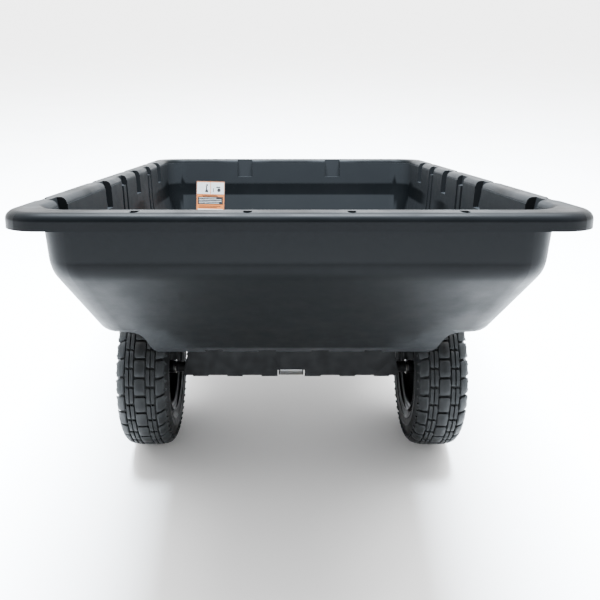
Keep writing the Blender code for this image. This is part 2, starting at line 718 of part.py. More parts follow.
def make_hitch_pin(mats, pivot):
    """Pull pin with a collar and a ring, standing through both plates."""
    seat = BAR / 2 + GAP + PLATE + GAP
    low = -(BAR / 2 + GAP + PLATE)
    pin = turned("hitch_pin", [(0.0045, low), (PIN_R, low + 0.003), (PIN_R, seat), (0.0110, seat),
                               (0.0110, seat + 0.004), (PIN_R, seat + 0.004), (PIN_R, seat + 0.024)],
                 count=20, mat=mats["zinc"])
    bm = bmesh.new()
    ring_r, wire_r, around = 0.016, 0.003, 16
    rings = []
    for i in range(around):
        turn = 2 * math.pi * i / around
        rings.append([bm.verts.new(((ring_r + b) * math.sin(turn), a, (ring_r + b) * math.cos(turn)))
                      for a, b in circle(wire_r, 6)])
    for near, far in zip(rings, rings[1:] + rings[:1]):
        for a in range(6):
            b = (a + 1) % 6
            bm.faces.new((near[a], near[b], far[b], far[a]))
    bmesh.ops.translate(bm, verts=bm.verts, vec=(0, 0, seat + 0.022 + ring_r))
    weld(pin, new_object("pin_ring", bm))
    put(settle(pin), pivot, (0, PIN_Y, BAR_END[1]))


def make_striker(mats, chassis):
    """Striker on top of the drawbar for the latch, and the rubber block that the bed rests on."""
    lift = BAR / 2 * 1.006 + GAP
    y0, y1 = 0.584, 0.618
    sy, sz = STRIKER
    ears = [(y0, bar_z(y0) + lift), (y1, bar_z(y1) + lift), (sy + 0.010, sz + 0.004),
            (sy + 0.004, sz + 0.009), (sy - 0.004, sz + 0.009), (sy - 0.010, sz + 0.004)]
    bracket = prism("striker_bracket", ears, "X", -0.013, 0.013, mats["black_steel"])
    floor = lift + STEEL
    slot = [(y0 - 0.01, bar_z(y0 - 0.01) + floor), (y1 + 0.01, bar_z(y1) + 0.001 + floor),
            (y1 + 0.01, sz + 0.02), (y0 - 0.01, sz + 0.02)]
    cut(bracket, prism("striker_slot", slot, "X", -0.010, 0.010))
    cut(bracket, rod("striker_hole", 0.0053, "X", -0.03, 0.03, STRIKER, 16))
    put(bracket, chassis)
    pin = turned("striker_pin", [(0.0080, -0.0165), (0.0080, -0.0135), (0.0050, -0.0135), (0.0050, 0.0165)],
                 "X", 12, mats["zinc"])
    put(pin, chassis, (0, *STRIKER))
    pad_top = FLOOR_Z - 2 * GAP - RAIL_H - STEEL - GAP
    b0, b1 = CROSS_Y - 0.020, CROSS_Y + 0.020
    pad = [(b0, bar_z(b0) + lift), (b1, bar_z(b1) + lift), (b1, pad_top), (b0, pad_top)]
    put(prism("bed_rest_block", pad, "X", -0.018, 0.018, mats["rubber"]), chassis)


def make_pivot(mats, chassis):
    """Zinc sleeve welded across the back of the drawbar, turning on two bushings on the axle."""
    sleeve_bore = 0.0180
    put(settle(tube("pivot_sleeve", SLEEVE_R, sleeve_bore, "X", -SLEEVE_HALF, SLEEVE_HALF, count=24,
                    mat=mats["zinc"])), chassis)
    for side, word in ((-1, "left"), (1, "right")):
        inner, outer = SLEEVE_HALF - 0.020, SLEEVE_HALF + GAP
        flange = outer + 0.0030
        profile = [(side * x, r) for x, r in (
            (inner, AXLE_R + GAP), (flange, AXLE_R + GAP), (flange, SLEEVE_R), (outer, SLEEVE_R),
            (outer, sleeve_bore - GAP), (inner, sleeve_bore - GAP))]
        put(lathe("pivot_bushing_" + word, profile, mats["nylon"], 16), chassis)


def make_axle(mats, chassis):
    axle = turned("axle", [(AXLE_R - 0.0015, -AXLE_HALF), (AXLE_R, -AXLE_HALF + 0.0015),
                           (AXLE_R, AXLE_HALF - 0.0015), (AXLE_R - 0.0015, AXLE_HALF)],
                  "X", 20, mats["axle_steel"])
    hub_end = HUB_HALF + 0.0030
    cotter_x = WHEEL_X + hub_end + 0.0080
    for side, word in ((-1, "left"), (1, "right")):
        cut(axle, rod("cotter_hole_" + word, 0.0022, "Z", -0.02, 0.02, (side * cotter_x, 0), 10))
        inner, outer = 0.2555, WHEEL_X - hub_end - GAP
        bore = AXLE_R + GAP
        spacer = [(side * inner, bore), (side * (outer - 0.003), bore), (side * (outer - 0.003), 0.0145),
                  (side * inner, 0.0145)]
        put(lathe("axle_spacer_" + word, spacer, mats["black_steel"], 16), chassis)
        for place, x in (("inner", outer - 0.0026), ("outer", WHEEL_X + hub_end + GAP)):
            ring = [(side * x, bore), (side * (x + 0.0024), bore),
                    (side * (x + 0.0024), 0.0180), (side * x, 0.0180)]
            put(lathe("axle_washer_%s_%s" % (place, word), ring, mats["zinc"], 16), chassis)
        put(cotter_pin("cotter_pin_" + word, mats), chassis, (side * cotter_x, 0, 0))
    put(axle, chassis)


def cotter_pin(name, mats):
    """Split pin through the axle: a straight leg, a round eye above and a bent tail below."""
    pin = turned(name, [(0.0018, -0.0150), (0.0018, 0.0130)], count=10, mat=mats["zinc"])
    eye = rod(name + "_eye", 0.0045, "X", -0.0017, 0.0017, (0, 0.0165), 16)
    weld(pin, eye)
    tail = [(0.0, -0.0150), (0.0070, -0.0185), (0.0085, -0.0160), (0.0, -0.0115)]
    weld(pin, prism(name + "_tail", tail, "X", -0.0014, 0.0014))
    return settle(pin)


# ---------------------------------------------------------------- wheels
def tyre_profile():
    """Section of the carcass: crowned tread, round sidewall, bead, and the air space inside."""
    half = [(0.000, 0.2000), (0.034, 0.1985), (0.052, 0.1925), (0.0610, 0.1750), (0.0630, 0.1500),
            (0.0575, 0.1250), (0.0456, 0.1145), (0.0456, 0.1050), (0.034, 0.1050), (0.052, 0.1450),
            (0.044, 0.1830), (0.000, 0.1900)]
    return half + [(-x, r) for x, r in reversed(half[1:-1])]


def rim_profile():
    """Half of the pressed rim: flat disc, drop centre, bead seat and rolled flange."""
    line = [(0.0020, HUB_R + 0.0010), (0.0020, 0.0560), (0.0120, 0.0700), (0.0120, 0.0860), (0.0300, 0.1010),
            (0.0460, 0.1022), (0.0484, 0.1100), (0.0560, 0.1130)]
    return sheet_profile(line, 0.0024)


def make_wheel_meshes(mats):
    """The pieces of one wheel, built round its own centre."""
    pieces = {"tyre": lathe("tyre_left", tyre_profile(), mats["rubber"], 32)}
    rim = rim_profile()
    pieces["rim_right_half"] = lathe("rim_right_half_left", rim, mats["rim_paint"], 20)
    pieces["rim_left_half"] = lathe("rim_left_half_left", [(-x, r) for x, r in rim], mats["rim_paint"], 20)
    stem = turned("valve_stem_left", [(0.0050, 0.0), (0.0036, 0.0060), (0.0036, 0.0170), (0.0042, 0.0175),
                                      (0.0042, 0.0240), (0.0030, 0.0250)], "X", 12, mats["rubber"])
    stem.data.transform(Matrix.Translation((0.0305, 0, 0.0790)) @ Matrix.Rotation(math.radians(8), 4, "Y"))
    pieces["valve_stem"] = stem
    inner = HUB_HALF - GAP
    pieces["wheel_hub"] = settle(tube("wheel_hub_left", HUB_R, HUB_BORE, "X", -inner, inner,
                                      count=24, mat=mats["rim_paint"]))
    bore = AXLE_R + GAP
    for word, side in (("left", -1), ("right", 1)):
        profile = [(side * x, r) for x, r in (
            (HUB_HALF - 0.026, bore), (HUB_HALF + 0.003 - GAP, bore), (HUB_HALF + 0.003 - GAP, HUB_R),
            (HUB_HALF, HUB_R), (HUB_HALF, HUB_BORE - GAP), (HUB_HALF - 0.026, HUB_BORE - GAP))]
        pieces["hub_bushing_" + word] = lathe("hub_bushing_%s_left" % word, profile, mats["nylon"], 16)
    return pieces


def make_wheels(mats, pivots):
    for base, obj in make_wheel_meshes(mats).items():
        twin = copy_of(obj, base + "_right")
        put(obj, pivots["wheel_left"], (-WHEEL_X, 0, 0))
        put(twin, pivots["wheel_right"], (WHEEL_X, 0, 0))


# ---------------------------------------------------------------- rest pose
def rest_lean():
    """Angle that brings the nose of the lower hitch plate down to the height of the tyres' feet."""
    y = PLATE_TIP
    z = BAR_END[1] - BAR / 2 - GAP - PLATE
    return math.atan2(z, y) + math.asin(WHEEL_R / math.hypot(y, z))


def stand_on_ground(pivots):
    """Lean the cart forward on its hitch and centre it over the origin, standing on z = 0."""
    lean = rest_lean()
    pivots["chassis"].rotation_euler = (-lean, 0, 0)
    for side in ("left", "right"):
        pivots["wheel_" + side].rotation_euler = (lean, 0, 0)
    rear = RIM_REAR * math.cos(lean) + RIM_Z * math.sin(lean)
    rear = min(rear, (RIM_REAR * math.cos(lean) + LIP_Z * math.sin(lean)))
    nose_top = BAR_END[1] + BAR / 2 + GAP + PLATE
    nose = PLATE_TIP * math.cos(lean) + nose_top * math.sin(lean)
    pivots["chassis"].location = (0, -(rear + nose) / 2, WHEEL_R)


def main():
    clear_scene()
    mats = make_materials()
    pivots = make_pivots()
    bed, chassis = pivots["bed"], pivots["chassis"]
    make_tub(mats, bed)
    make_label(mats, bed)
    make_pedestal(mats, bed)
    make_floor_frame(mats, bed)
    make_latch_bracket(mats, bed)
    make_bed_bolts(mats, bed)
    make_latch(mats, pivots["latch"])
    make_drawbar(mats, chassis)
    make_hitch(mats, chassis)
    make_hitch_pin(mats, pivots["hitch_pin"])
    make_striker(mats, chassis)
    make_pivot(mats, chassis)
    make_axle(mats, chassis)
    make_wheels(mats, pivots)
    stand_on_ground(pivots)


main()
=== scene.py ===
"""Looks of the tow-behind cart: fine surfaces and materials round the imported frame.

Pieces are drawn in the cart's own level frame, with its origin on the middle of the axle, +Y forward
and +Z up, and are then leaned forward with the cart, which stands on its tyres and its hitch.
"""
import json
import math
import random

import bmesh
import bpy
from mathutils import Matrix, Vector


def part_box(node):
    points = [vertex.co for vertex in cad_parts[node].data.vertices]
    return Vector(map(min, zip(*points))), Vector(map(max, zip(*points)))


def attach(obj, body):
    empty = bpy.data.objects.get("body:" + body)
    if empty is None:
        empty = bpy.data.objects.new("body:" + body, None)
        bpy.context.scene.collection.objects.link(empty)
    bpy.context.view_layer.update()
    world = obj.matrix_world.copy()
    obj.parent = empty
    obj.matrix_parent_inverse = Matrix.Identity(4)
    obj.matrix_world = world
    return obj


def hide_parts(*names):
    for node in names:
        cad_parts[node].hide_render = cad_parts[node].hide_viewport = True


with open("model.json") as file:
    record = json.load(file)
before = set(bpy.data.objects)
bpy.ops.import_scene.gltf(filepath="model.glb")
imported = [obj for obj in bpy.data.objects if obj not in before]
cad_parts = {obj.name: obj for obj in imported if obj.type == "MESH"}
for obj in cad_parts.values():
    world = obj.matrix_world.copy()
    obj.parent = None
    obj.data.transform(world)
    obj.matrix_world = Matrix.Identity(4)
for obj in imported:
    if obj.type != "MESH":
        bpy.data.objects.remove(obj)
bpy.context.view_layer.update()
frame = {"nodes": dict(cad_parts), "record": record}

# ---------------------------------------------------------------- the cart's frame
AXLE = (Vector(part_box("axle")[0]) + Vector(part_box("axle")[1])) / 2
PIN_AXIS = next(j["axis"] for j in frame["record"]["behaviour"]["joints"] if j["name"] == "hitch_pin_lift")
LEAN = math.atan2(PIN_AXIS[1], PIN_AXIS[2])
TO_ROW = Matrix.Translation(AXLE) @ Matrix.Rotation(-LEAN, 4, "X")

WHEEL_X = (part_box("tyre_right")[0][0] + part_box("tyre_right")[1][0]) / 2
WALL = 0.005
FLOOR_Z = 0.160
KINK_Z = 0.405
LIP_Z = 0.481
RIM_Z = 0.508
RIM_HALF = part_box("tub")[1][0]
RIM_REAR, RIM_FRONT = -0.720, 0.658
WALL_HALF, WALL_REAR, WALL_FRONT = 0.408, -0.672, 0.612
KINK_HALF, KINK_REAR, KINK_FRONT = 0.403, -0.664, 0.602
BASE_HALF, BASE_REAR, BASE_FRONT = 0.376, -0.333, 0.560
CORNER_R = 0.070
WELL_FRONT = 0.270
WELL_SIDE = ((0.284, 0.160), (0.288, 0.1618), (0.2915, 0.1645), (0.2942, 0.1682), (0.2958, 0.173),
             (0.2967, 0.180), (0.2975, 0.188), (0.2980, 0.198), (0.2985, 0.207), (0.2999, 0.2150),
             (0.3020, 0.2215), (0.3048, 0.2268), (0.3085, 0.2310), (0.3132, 0.2341), (0.3190, 0.2362),
             (0.3280, 0.2375), (0.3400, 0.2380))
CHANNEL_X = (-0.168, -0.056, 0.056, 0.168)
CHANNEL_W, CHANNEL_D = 0.037, 0.006
POCKET_Y = (-0.533, -0.222, 0.086, 0.395)
POCKET_X = (-0.1475, 0.1475)
POCKET_L, POCKET_IN, POCKET_D = 0.050, 0.019, 0.058
SLOT_Y = (-0.070, 0.240)
SLOT_W, SLOT_IN, SLOT_LEDGE = 0.056, 0.010, 0.486
GROOVE_Y, GROOVE_W, GROOVE_IN = 0.020, 0.016, 0.006
NOTCH_L, NOTCH_D = 0.066, 0.010
REAR_HOLE_X = (-0.244, -0.077, 0.077, 0.244)
REAR_HOLE_W, REAR_HOLE_L = 0.013, 0.022
BED_BOLTS = tuple((x, y) for y in (-0.052, 0.052, 0.500) for x in (-0.112, 0.112))
AXLE_R = 0.0095
HUB_R, HUB_HALF = 0.0165, 0.052
BAR_END = (1.090, 0.045)
HITCH_BOLT_Y = (0.995, 1.055)
PIN_Y = 1.135
LATCH_AXIS = (0.590, 0.140)
BAR_HALF, PLATE = 0.025, 0.006
GAP = 0.0003                    # air left between two pieces that touch
STRIKER = (0.602, 0.110)
PIN_R = 0.0063

# CAD pieces that keep their shape: material, slot, then the bevel's width, segments and angle
KEPT = {
    "drawbar": ("steel", "black_steel", 0.0022, 3, 25),
    **{name: ("zinc", "zinc_plate", 0.0010, 2, 30) for name in ("hitch_plate_upper", "hitch_plate_lower")},
    "striker_bracket": ("steel", "black_steel", 0.0007, 2, 30),
    "bed_rest_block": ("rubber", "block_rubber", 0.0020, 3, 30),
    **{"pedestal_%s_%s" % (part, word): ("steel", "black_steel", 0.0006, 2, 30)
       for part in ("end", "rib") for word in ("left", "right")},
    **{name: ("steel", "black_steel", 0.0010, 2, 30)
       for name in ("floor_rail_left", "floor_rail_right", "front_crossmember")},
    "latch_bracket": ("steel", "black_steel", 0.0008, 2, 30),
    "latch_lever": ("zinc", "zinc_plate", 0.0007, 2, 30),
    "latch_grip": ("grip", "grip_vinyl", 0.0026, 3, 30),
}

# ---------------------------------------------------------------- studio values
FLOOR_HALF = 60.0
SKY_RANGE = (("From Min", -0.35), ("From Max", 1.0), ("To Min", 0.25), ("To Max", 2.8))
SKY_STRENGTH = 4.2
SUN_POWER, SUN_SPREAD, SUN_TILT = 8.0, 60, (-24, 4)
PANEL_PLACE, PANEL_TARGET, PANEL_SIZE = (0.0, 0.1, 4.4), (0.0, 0.1, 0.4), (2.6, 1.0)
PANEL_POWER, PANEL_COLOR = 3800.0, (0.80, 0.90, 1.0)
CAMERA_LENS, CAMERA_SHIFT = 40.14, (0.0333, -0.0583)
CAMERA_PLACE = (-0.029, -1.678, 0.641)
CAMERA_DROP = 12.3              # degrees below the cart's own level


# ---------------------------------------------------------------- node materials
def new_material(name, roughness=0.5, metallic=0.0, specular=0.5):
    mat = bpy.data.materials.new(name)
    mat.use_nodes = True
    shader = mat.node_tree.nodes["Principled BSDF"]
    shader.inputs["Roughness"].default_value = roughness
    shader.inputs["Metallic"].default_value = metallic
    shader.inputs["Specular IOR Level"].default_value = specular
    return mat, mat.node_tree, shader


def node(tree, kind, **values):
    new = tree.nodes.new(kind)
    for key, value in values.items():
        if key in new.inputs:
            new.inputs[key].default_value = value
        else:
            setattr(new, key, value)
    return new


def noise(tree, scale, detail=3.0, roughness=0.5, stretch=None):
    """Noise in object coordinates, drawn out along an axis if stretch is given."""
    source = tree.nodes.new("ShaderNodeTexCoord").outputs["Object"]
    if stretch:
        mapping = node(tree, "ShaderNodeMapping")
        mapping.inputs["Scale"].default_value = stretch
        tree.links.new(source, mapping.inputs["Vector"])
        source = mapping.outputs["Vector"]
    tex = node(tree, "ShaderNodeTexNoise", Scale=scale, Detail=detail, Roughness=roughness)
    tree.links.new(source, tex.inputs["Vector"])
    return tex.outputs["Fac"]


def ramp(tree, source, stops):
    """Colour ramp from (position, colour) stops; a plain number is a grey."""
    new = tree.nodes.new("ShaderNodeValToRGB")
    elements = new.color_ramp.elements
    while len(elements) > 1:
        elements.remove(elements[-1])
    for i, (place, color) in enumerate(stops):
        stop = elements[0] if i == 0 else elements.new(place)
        stop.position = place
        if isinstance(color, (int, float)):
            color = (color, color, color)
        stop.color = (*color, 1.0)
    tree.links.new(source, new.inputs["Fac"])
    return new.outputs["Color"]


def mix(tree, first, second, factor, blend="MIX"):
    new = tree.nodes.new("ShaderNodeMix")
    new.data_type = "RGBA"
    new.blend_type = blend
    for socket, value in ((new.inputs[0], factor), (new.inputs[6], first), (new.inputs[7], second)):
        if isinstance(value, bpy.types.NodeSocket):
            tree.links.new(value, socket)
        elif isinstance(value, (int, float)):
            socket.default_value = value
        else:
            socket.default_value = (*value, 1.0)
    return new.outputs[2]


def bump(tree, shader, source, strength, distance, after=None):
    new = node(tree, "ShaderNodeBump", Strength=strength, Distance=distance)
    tree.links.new(source, new.inputs["Height"])
    if after:
        tree.links.new(after, new.inputs["Normal"])
    tree.links.new(new.outputs["Normal"], shader.inputs["Normal"])
    return new.outputs["Normal"]


def surface(tree, shader, color, rough=None):
    tree.links.new(color, shader.inputs["Base Color"])
    if rough is not None:
        tree.links.new(rough, shader.inputs["Roughness"])


def edge_wear(tree, low=0.52, high=0.60):
    """White along convex edges, from the mesh's own pointiness."""
    geometry = tree.nodes.new("ShaderNodeNewGeometry")
    return ramp(tree, geometry.outputs["Pointiness"], ((low, 0.0), (high, 1.0)))


def moulded_plastic():
    """Moulded polyethylene: fine orange-peel skin, faint flow marks and paler rubbed edges."""
    mat, tree, shader = new_material("moulded_polyethylene", 0.42, specular=0.03)
    flow = noise(tree, 2.2, 4.0, 0.55, stretch=(1.0, 1.0, 0.35))
    base = ramp(tree, flow, ((0.30, (0.0010, 0.0013, 0.0015)), (0.70, (0.0018, 0.0021, 0.0024))))
    scuffs = ramp(tree, noise(tree, 55.0, 6.0, 0.7, stretch=(1.0, 0.12, 1.0)), ((0.62, 0.0), (0.80, 1.0)))
    scuffed = mix(tree, base, (0.006, 0.0066, 0.007), ramp(tree, scuffs, ((0.0, 0.0), (1.0, 0.35))))
    worn = mix(tree, scuffed, (0.013, 0.014, 0.015), ramp(tree, edge_wear(tree), ((0.0, 0.0), (1.0, 0.45))))
    surface(tree, shader, worn, ramp(tree, noise(tree, 14.0, 5.0, 0.6), ((0.30, 0.36), (0.70, 0.50))))
    skin = bump(tree, shader, noise(tree, 900.0, 2.0), 0.10, 0.0006)
    bump(tree, shader, noise(tree, 60.0, 2.0), 0.05, 0.0010, skin)
    return mat


def powder_coat(name="black_powder_coat", dark=0.0009, pale=0.0019):
    """Black powder coat: pebbled gloss, a little dust in the low places."""
    mat, tree, shader = new_material(name, 0.36, specular=0.07)
    cloud = noise(tree, 9.0, 5.0, 0.6)
    base = ramp(tree, cloud, ((0.35, (dark, dark * 1.08, dark * 1.2)),
                              (0.75, (pale, pale * 1.05, pale * 1.12))))
    worn = mix(tree, base, (0.060, 0.060, 0.060),
               ramp(tree, edge_wear(tree, 0.54, 0.64), ((0.0, 0.0), (1.0, 0.5))))
    surface(tree, shader, worn, ramp(tree, noise(tree, 40.0, 4.0), ((0.30, 0.28), (0.72, 0.46))))
    bump(tree, shader, noise(tree, 520.0, 2.0), 0.16, 0.0008)
    return mat


def zinc_plate():
    """Bright zinc plating with its faint blue and yellow cast and fine drawing lines."""
    mat, tree, shader = new_material("zinc_plate", 0.30, 1.0)
    cast = ramp(tree, noise(tree, 34.0, 4.0, 0.6), ((0.32, (0.17, 0.18, 0.20)), (0.50, (0.22, 0.22, 0.215)),
                                                   (0.70, (0.22, 0.205, 0.17))))
    dull = mix(tree, cast, (0.11, 0.11, 0.106),
               ramp(tree, noise(tree, 160.0, 4.0, 0.7), ((0.56, 0.0), (0.75, 0.6))))
    surface(tree, shader, dull, ramp(tree, noise(tree, 90.0, 4.0), ((0.30, 0.22), (0.72, 0.42))))
    bump(tree, shader, noise(tree, 260.0, 3.0, stretch=(0.15, 1.0, 1.0)), 0.10, 0.0004)
    return mat


def axle_steel():
    mat, tree, shader = new_material("drawn_steel", 0.35, 1.0)
    base = ramp(tree, noise(tree, 120.0, 5.0, 0.6, stretch=(0.1, 1.0, 1.0)), ((0.30, (0.12, 0.12, 0.124)),
                                                                            (0.70, (0.20, 0.196, 0.188))))
    surface(tree, shader, base, ramp(tree, noise(tree, 200.0, 3.0, stretch=(0.1, 1.0, 1.0)),
                                     ((0.3, 0.28), (0.7, 0.48))))
    bump(tree, shader, noise(tree, 500.0, 2.0, stretch=(0.1, 1.0, 1.0)), 0.12, 0.0003)
    return mat


def tyre_rubber():
    """Moulded rubber, dusty between the lugs and rubbed on top of them."""
    mat, tree, shader = new_material("tyre_rubber", 0.50, specular=0.15)
    cloud = ramp(tree, noise(tree, 18.0, 5.0, 0.62),
                 ((0.30, (0.0018, 0.0022, 0.0024)), (0.72, (0.0038, 0.0043, 0.0045))))
    dust = ramp(tree, noise(tree, 75.0, 4.0, 0.7), ((0.60, 0.0), (0.82, 0.30)))
    dusty = mix(tree, cloud, (0.018, 0.018, 0.017), dust)
    rubbed = mix(tree, dusty, (0.032, 0.034, 0.035),
                 ramp(tree, edge_wear(tree, 0.53, 0.62), ((0.0, 0.0), (1.0, 0.55))))
    surface(tree, shader, rubbed, ramp(tree, noise(tree, 30.0, 4.0), ((0.30, 0.50), (0.70, 0.72))))
    bump(tree, shader, noise(tree, 700.0, 3.0), 0.22, 0.0006)
    return mat


def black_nylon():
    mat, tree, shader = new_material("black_nylon", 0.5)
    base = ramp(tree, noise(tree, 80.0, 3.0), ((0.3, 0.016), (0.7, 0.028)))
    surface(tree, shader, base)
    bump(tree, shader, noise(tree, 600.0, 2.0), 0.12, 0.0004)
    return mat


def vinyl_grip():
    mat, tree, shader = new_material("dipped_vinyl", 0.42)
    base = ramp(tree, noise(tree, 45.0, 4.0), ((0.3, 0.010), (0.7, 0.022)))
    surface(tree, shader, base, ramp(tree, noise(tree, 70.0, 3.0), ((0.3, 0.34), (0.7, 0.55))))
    bump(tree, shader, noise(tree, 380.0, 2.0), 0.2, 0.0006)
    return mat


def printed(name, color):
    """One ink of the label, slightly uneven as screen print is."""
    mat, tree, shader = new_material(name, 0.42)
    dark = tuple(c * 0.32 for c in color)
    full = tuple(c * 0.38 for c in color)
    base = ramp(tree, noise(tree, 240.0, 3.0), ((0.35, dark), (0.65, full)))
    surface(tree, shader, base)
    bump(tree, shader, noise(tree, 120.0, 2.0), 0.04, 0.0002)
    return mat


# ---------------------------------------------------------------- mesh helpers
def new_object(name, bm, mats=None, smooth=40, lean=True):
    bmesh.ops.recalc_face_normals(bm, faces=bm.faces)
    mesh = bpy.data.meshes.new(name)
    bm.to_mesh(mesh)
    bm.free()
    if lean:
        mesh.transform(TO_ROW)
    mesh.shade_smooth()
    mesh.set_sharp_from_angle(angle=math.radians(smooth))
    obj = bpy.data.objects.new(name, mesh)
    bpy.context.scene.collection.objects.link(obj)
    for mat in mats if isinstance(mats, (list, tuple)) else [mats] if mats else []:
        mesh.materials.append(mat)
    return obj


def add_hull(bm, lower, upper, slot=0):
    rings = [[bm.verts.new(point) for point in outline] for outline in (lower, upper)]
    count = len(lower)
    faces = [bm.faces.new(list(reversed(rings[0]))), bm.faces.new(rings[1])]
    for i in range(count):
        j = (i + 1) % count
        faces.append(bm.faces.new((rings[0][i], rings[0][j], rings[1][j], rings[1][i])))
    for face in faces:
        face.material_index = slot


def join_rings(bm, low, high):
    for i in range(len(low)):
        j = (i + 1) % len(low)
        bm.faces.new((low[i], low[j], high[j], high[i]))


def add_loft(bm, outlines):
    rings = [[bm.verts.new(point) for point in outline] for outline in outlines]
    bm.faces.new(list(reversed(rings[0])))
    bm.faces.new(rings[-1])
    for low, high in zip(rings, rings[1:]):
        join_rings(bm, low, high)


def loft(name, outlines, mats=None):
    bm = bmesh.new()
    add_loft(bm, outlines)
    return new_object(name, bm, mats)


def boxes(name, spans):
    bm = bmesh.new()
    for (x0, x1), (y0, y1), (z0, z1) in spans:
        corners = ((x0, y0), (x1, y0), (x1, y1), (x0, y1))
        add_hull(bm, [(x, y, z0) for x, y in corners], [(x, y, z1) for x, y in corners])
    return new_object(name, bm)


def circle(radius, count, centre=(0.0, 0.0)):
    step = 2 * math.pi / count
    return [(centre[0] + radius * math.cos(i * step), centre[1] + radius * math.sin(i * step))
            for i in range(count)]


def prism_points(outline, axis, depth):
    if axis == "X":
        return [(depth, a, b) for a, b in outline]
    if axis == "Y":
        return [(a, depth, b) for a, b in outline]
    return [(a, b, depth) for a, b in outline]


def prism(name, outline, axis, start, end, mats=None):
    bm = bmesh.new()
    add_hull(bm, prism_points(outline, axis, start), prism_points(outline, axis, end))
    return new_object(name, bm, mats)


def add_lathe(bm, profile, steps=96, centre_x=0.0):
    """Turn a closed (x, radius) profile round the X axis through the axle."""
    rings = []
    for i in range(steps):
        turn = 2 * math.pi * i / steps
        rings.append([bm.verts.new((centre_x + x, -r * math.sin(turn), r * math.cos(turn)))
                      for x, r in profile])
    for near, far in zip(rings, rings[1:] + rings[:1]):
        join_rings(bm, near, far)


def lathe(name, profile, mats=None, steps=96, centre_x=0.0):
    bm = bmesh.new()
    add_lathe(bm, profile, steps, centre_x)
    return new_object(name, bm, mats)


def turned(bm, stations, axis="Z", place=(0.0, 0.0, 0.0), count=32):
    """Stack circles of (radius, depth) along an axis."""
    rings = []
    for radius, depth in stations:
        flat = prism_points(circle(radius, count), axis, depth)
        rings.append([tuple(Vector(point) + Vector(place)) for point in flat])
    add_loft(bm, rings)


def sheet_profile(line, thickness):
    left, right = [], []
    for i, (x, r) in enumerate(line):
        x0, r0 = line[max(i - 1, 0)]
        x1, r1 = line[min(i + 1, len(line) - 1)]
        run = math.hypot(x1 - x0, r1 - r0)
        nx, nr = -(r1 - r0) / run * thickness / 2, (x1 - x0) / run * thickness / 2
        left.append((x + nx, r + nr))
        right.append((x - nx, r - nr))
    return left + right[::-1]


def rounded(line, radius=0.004, steps=4):
    """Round the inner corners of an open line with small arcs, as quadratic curves."""
    points = [line[0]]
    for before, corner, after in zip(line, line[1:], line[2:]):
        ends = []
        for other in (before, after):
            dx, dr = other[0] - corner[0], other[1] - corner[1]
            run = math.hypot(dx, dr)
            reach = min(radius, run * 0.45) / run
            ends.append((corner[0] + dx * reach, corner[1] + dr * reach))
        for i in range(steps + 1):
            t = i / steps
            points.append(tuple((1 - t) ** 2 * a + 2 * t * (1 - t) * b + t * t * c
                                for a, b, c in zip(ends[0], corner, ends[1])))
    points.append(line[-1])
    return points


def boolean(obj, other, operation):
    mod = obj.modifiers.new(operation.lower() + "_" + other.name, "BOOLEAN")
    mod.operation = operation
    mod.solver = "EXACT"
    mod.object = other


def settle(obj, *helpers):
    """Apply an object's modifiers and remove the cutters."""
    graph = bpy.context.evaluated_depsgraph_get()
    mesh = bpy.data.meshes.new_from_object(obj.evaluated_get(graph))
    obj.modifiers.clear()
    obj.data = mesh
    for helper in helpers:
        bpy.data.objects.remove(helper, do_unlink=True)


def slice_large_faces(mesh):
    """Cuts across the tub, so that no flat face is wide enough to be shaded as two big triangles."""
    bm = bmesh.new()
    bm.from_mesh(mesh)
    planes = [((1, 0, 0), 0.06 * i) for i in range(-7, 8)] + [((0, 1, 0), 0.09 * i) for i in range(-7, 8)]
    for normal, distance in planes:
        axis = TO_ROW.to_3x3() @ Vector(normal)
        bmesh.ops.bisect_plane(bm, geom=bm.verts[:] + bm.edges[:] + bm.faces[:], dist=1e-5,
                               plane_co=TO_ROW @ (Vector(normal) * distance), plane_no=axis)
    bm.to_mesh(mesh)
    bm.free()


def bevel(obj, width, segments=2, angle=35):
    mod = obj.modifiers.new("rounding", "BEVEL")
    mod.width = width
    mod.segments = segments
    mod.limit_method = "ANGLE"
    mod.angle_limit = math.radians(angle)
    mod.use_clamp_overlap = True
    mod.harden_normals = False


def dress(obj, body, slot, *nodes):
    """Let a piece ride its body and hide the solids it stands for. The slot argument is not used."""
    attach(obj, body)
    if nodes:
        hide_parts(*nodes)


# ---------------------------------------------------------------- tub
def outline(half, rear, front, radius, z, steps=10):
    centres = ((half - radius, front - radius, 0), (radius - half, front - radius, 90),
               (radius - half, rear + radius, 180), (half - radius, rear + radius, 270))
    points = []
    for cx, cy, start in centres:
        for i in range(steps + 1):
            turn = math.radians(start + 90 * i / steps)
            points.append((cx + radius * math.cos(turn), cy + radius * math.sin(turn), z))
    return points


def blend_rings(low, high, t):
    return [tuple(a + (b - a) * t for a, b in zip(p, q)) for p, q in zip(low, high)]


def wall_outlines(skin, top):
    """Outlines of the wall, with the folds at the floor and at the kink rounded."""
    ramp_skin = skin * 1.65
    base = outline(BASE_HALF - skin, BASE_REAR + ramp_skin, BASE_FRONT - skin, CORNER_R - 0.02,
                   FLOOR_Z + skin)
    kink = outline(KINK_HALF - skin, KINK_REAR + ramp_skin, KINK_FRONT - skin, CORNER_R - 0.01, KINK_Z)
    rim = outline(WALL_HALF - skin, WALL_REAR + skin, WALL_FRONT - skin, CORNER_R - 0.01, top)
    low = blend_rings(kink, base, 0.07)
    high = blend_rings(kink, rim, 0.22)
    fold = []
    for i in range(7):
        t = i / 6
        fold.append([tuple((1 - t) ** 2 * a + 2 * t * (1 - t) * b + t * t * c for a, b, c in zip(p, q, r))
                     for p, q, r in zip(low, kink, high)])
    return [base] + fold + [rim]


